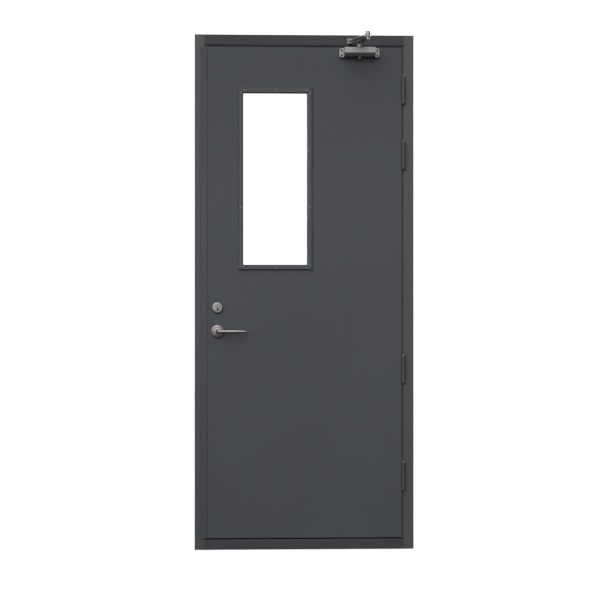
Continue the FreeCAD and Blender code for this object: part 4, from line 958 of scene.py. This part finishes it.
def bent_lever(name, node, face, outward):
    """Lever that replaces a node. face is the Y of the leaf's face, outward the way from it."""
    shape = bmesh.new()
    rings = []
    for across, rise, heading, radius in lever_path():
        centre = Vector((LEVER_X + across * MM, face + outward * rise * MM, lever_z))
        side = Vector((-math.sin(heading), outward * math.cos(heading), 0.0))
        depth = 1.0 - FLATTER * min(1.0, max(0.0, (across - BEND) / FLATTER_OVER))
        ring = []
        for step in range(LEVER_SIDES):
            turn = step * math.tau / LEVER_SIDES
            reach = side * math.cos(turn) * depth + Vector((0, 0, 1)) * math.sin(turn)
            ring.append(shape.verts.new(centre + reach * radius * MM))
        rings.append(ring)
    tube(shape, rings)
    mesh = to_mesh(shape, name)
    smooth(mesh, 50.0)
    mesh.materials.append(lever_steel.material)
    piece = bpy.data.objects.new(name, mesh)
    bpy.context.collection.objects.link(piece)
    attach(piece, "handle")
    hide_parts(node)
    print(name, len(mesh.polygons), "faces")


bent_lever("bent_lever_front", "lever_front", LEAF_FRONT, -1)
bent_lever("bent_lever_back", "lever_back", LEAF_BACK, 1)

# %% [markdown]
# A key goes into a slot with wards on both sides, cut into a brass plug that sits back from the
# face of the cylinder. The plug is drawn as a plate with the zigzag of the keyway cut through it and
# a floor behind, once for each face of the door. Plate and floor are painted near black with little
# sheen: painted shade, for the shade inside the keyhole.

# %% Keyways
WARDS = [(-2.2, -4.2), (2.2, -4.2), (2.2, -2.6), (0.9, -2.0), (0.9, -0.9), (2.2, -0.3)]
WARDS += [(2.2, 1.4), (1.1, 2.0), (1.1, 4.2), (-2.2, 4.2), (-2.2, 2.9), (-0.7, 2.3)]
WARDS += [(-0.7, 1.0), (-2.2, 0.4), (-2.2, -1.6), (-1.0, -2.3)]
PLUG_RIM = [(-2.95, -4.95), (2.95, -4.95), (2.95, 4.95), (-2.95, 4.95)]
SET_BACK, SLOT_DEPTH, PLUG_DEPTH = 1.6, 7.0, 7.5
KEY_DROP = 5.0 * MM  # from the middle of the cylinder down to the middle of its slot
slot_middle = Vector((LEVER_X, 0.0, key_z - KEY_DROP))

# Near-black brass with little sheen: painted shade inside the keyway.
keyway_painted_shade = Finish("keyway_painted_shade")
shade_mottle = keyway_painted_shade.noise(300.0, detail=4.0)
keyway_painted_shade.set(
    Base_Color=keyway_painted_shade.blend(shade_mottle, (0.004, 0.0038, 0.0034), (0.014, 0.012, 0.009)),
    Roughness=keyway_painted_shade.spread(shade_mottle, 0.3, 0.7, to_low=0.5, to_high=0.7),
    Specular_IOR_Level=0.12,
)


def keyway(name, face, outward):
    """Plate with the keyway in it. face is the Y of the cylinder's end."""
    shape = bmesh.new()

    def ring(points, depth):
        y = face - outward * depth * MM
        across, up = slot_middle.x, slot_middle.z
        return [shape.verts.new((across + x * MM, y, up + z * MM)) for x, z in points]

    front_rim, front_slot = ring(PLUG_RIM, SET_BACK), ring(WARDS, SET_BACK)
    deep_rim, deep_slot = ring(PLUG_RIM, PLUG_DEPTH), ring(WARDS, SLOT_DEPTH)
    bmesh.ops.triangle_fill(shape, use_beauty=True, edges=outlines(shape, front_rim, front_slot))
    wall(shape, front_rim, deep_rim)
    wall(shape, front_slot, deep_slot)
    shape.faces.new(deep_rim)
    shape.faces.new(deep_slot)
    mesh = to_mesh(shape, name)
    mesh.materials.append(keyway_painted_shade.material)
    piece = bpy.data.objects.new(name, mesh)
    bpy.context.collection.objects.link(piece)
    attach(piece, "leaf")
    print(name, len(mesh.polygons), "faces, slot", SLOT_DEPTH, "mm deep")


keyway("keyway_front", key_low.y, -1)
keyway("keyway_back", key_high.y, 1)

# %% [markdown]
# Seals are pushed out as one length, so each is drawn as a section swept along a straight line. The
# strip that overlaps the gap at the lock side closes on a soft lip, which waves a little because it
# is pressed against the jamb. The lip can't be read in the picture, but such strips have one. Its
# black also stands in for the line of shade along the strip's edge: painted shade.

# %% Swept seals
PRESS_FINE, PRESS_BROAD = 1.7, 0.6  # the two waves of a pressed lip, in radians per station


def swept(name, section, start, end, body, finish, stations=2, press=0.0):
    """Section swept along a line. section holds offsets from the line, in millimetres."""
    shape = bmesh.new()
    start, end = Vector(start), Vector(end)
    rings = []
    for step in range(stations):
        place = start.lerp(end, step / (stations - 1))
        give = 1.0 + press * math.sin(step * PRESS_FINE) * math.sin(step * PRESS_BROAD)
        rings.append([shape.verts.new(place + Vector(offset) * give * MM) for offset in section])
    bmesh.ops.triangulate(shape, faces=tube(shape, rings))
    mesh = to_mesh(shape, name)
    smooth(mesh, 40.0)
    mesh.materials.append(finish.material)
    piece = bpy.data.objects.new(name, mesh)
    bpy.context.collection.objects.link(piece)
    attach(piece, body)
    print(name, len(mesh.polygons), "faces,", round((end - start).length, 3), "m long")


LIP = [(0.4, -0.3), (-1.2, -0.35), (-2.1, -0.8), (-2.3, -1.3)]
LIP += [(-1.8, -1.7), (-0.6, -1.75), (0.4, -1.6)]
LIP_SHORT = 2 * MM  # by how much the lip is shorter than its strip at each end
strip_low, strip_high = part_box("lock_edge_strip")
lip_start = (strip_low.x, strip_high.y, strip_low.z + LIP_SHORT)
lip_end = (strip_low.x, strip_high.y, strip_high.z - LIP_SHORT)
lip_section = [(x, -y, 0.0) for x, y in LIP]
# The black lip also paints the line of shade along the strip's edge.
swept("strip_lip", lip_section, lip_start, lip_end, "leaf", seal_rubber, stations=41, press=0.06)

# %% [markdown]
# A fire door also has a flat strip in its frame that swells in the heat and shuts the gap. It has
# two grooves along its face, runs in the rebate, which is the inner side of the frame, and stops at
# each hinge and at the strike. It can't be seen in the picture, whose gaps are only lighter than
# they come out here without it. So its place, just behind the front of the leaf, and its dark grey
# are guesses, chosen to bring the gaps near that tone. The real gaps may be narrower instead.

# %% Heat strips
REBATE_X, REBATE_TOP, REBATE_FOOT = 0.4055, 2.058, 0.042
STRIP_Y = -45 * MM
CLEAR, HEAD_CLEAR = 3 * MM, 4 * MM
HEAT = [(-7.0, 0.0), (-7.0, 2.4), (-6.4, 2.8), (-3.2, 2.8), (-2.9, 2.2), (-2.0, 2.2), (-1.7, 2.8)]
heat_section = HEAT + [(-across, rise) for across, rise in reversed(HEAT)]
heat_strip = rubber("heat_strip", (0.021, 0.022, 0.024), (0.05, 0.05, 0.052))
stops = {
    "lock": [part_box("strike_plate")],
    "hinge": [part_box(f"hinge_{number}_frame_half") for number in range(1, 5)],
}
for side, name in ((-1, "lock"), (1, "hinge")):
    section = [(-side * rise, across, 0.0) for across, rise in heat_section]
    feet = [REBATE_FOOT + CLEAR] + [high.z + CLEAR for low, high in stops[name]]
    tops = [low.z - CLEAR for low, high in stops[name]] + [REBATE_TOP - CLEAR]
    for number, (foot, top) in enumerate(zip(feet, tops), 1):
        start, end = [(side * REBATE_X, STRIP_Y, z) for z in (foot, top)]
        swept(f"heat_strip_{name}_{number}", section, start, end, "frame", heat_strip)
section = [(0.0, across, -rise) for across, rise in heat_section]
start, end = [(x, STRIP_Y, REBATE_TOP) for x in (-REBATE_X + HEAD_CLEAR, REBATE_X - HEAD_CLEAR)]
swept("heat_strip_head", section, start, end, "frame", heat_strip)

# %% [markdown]
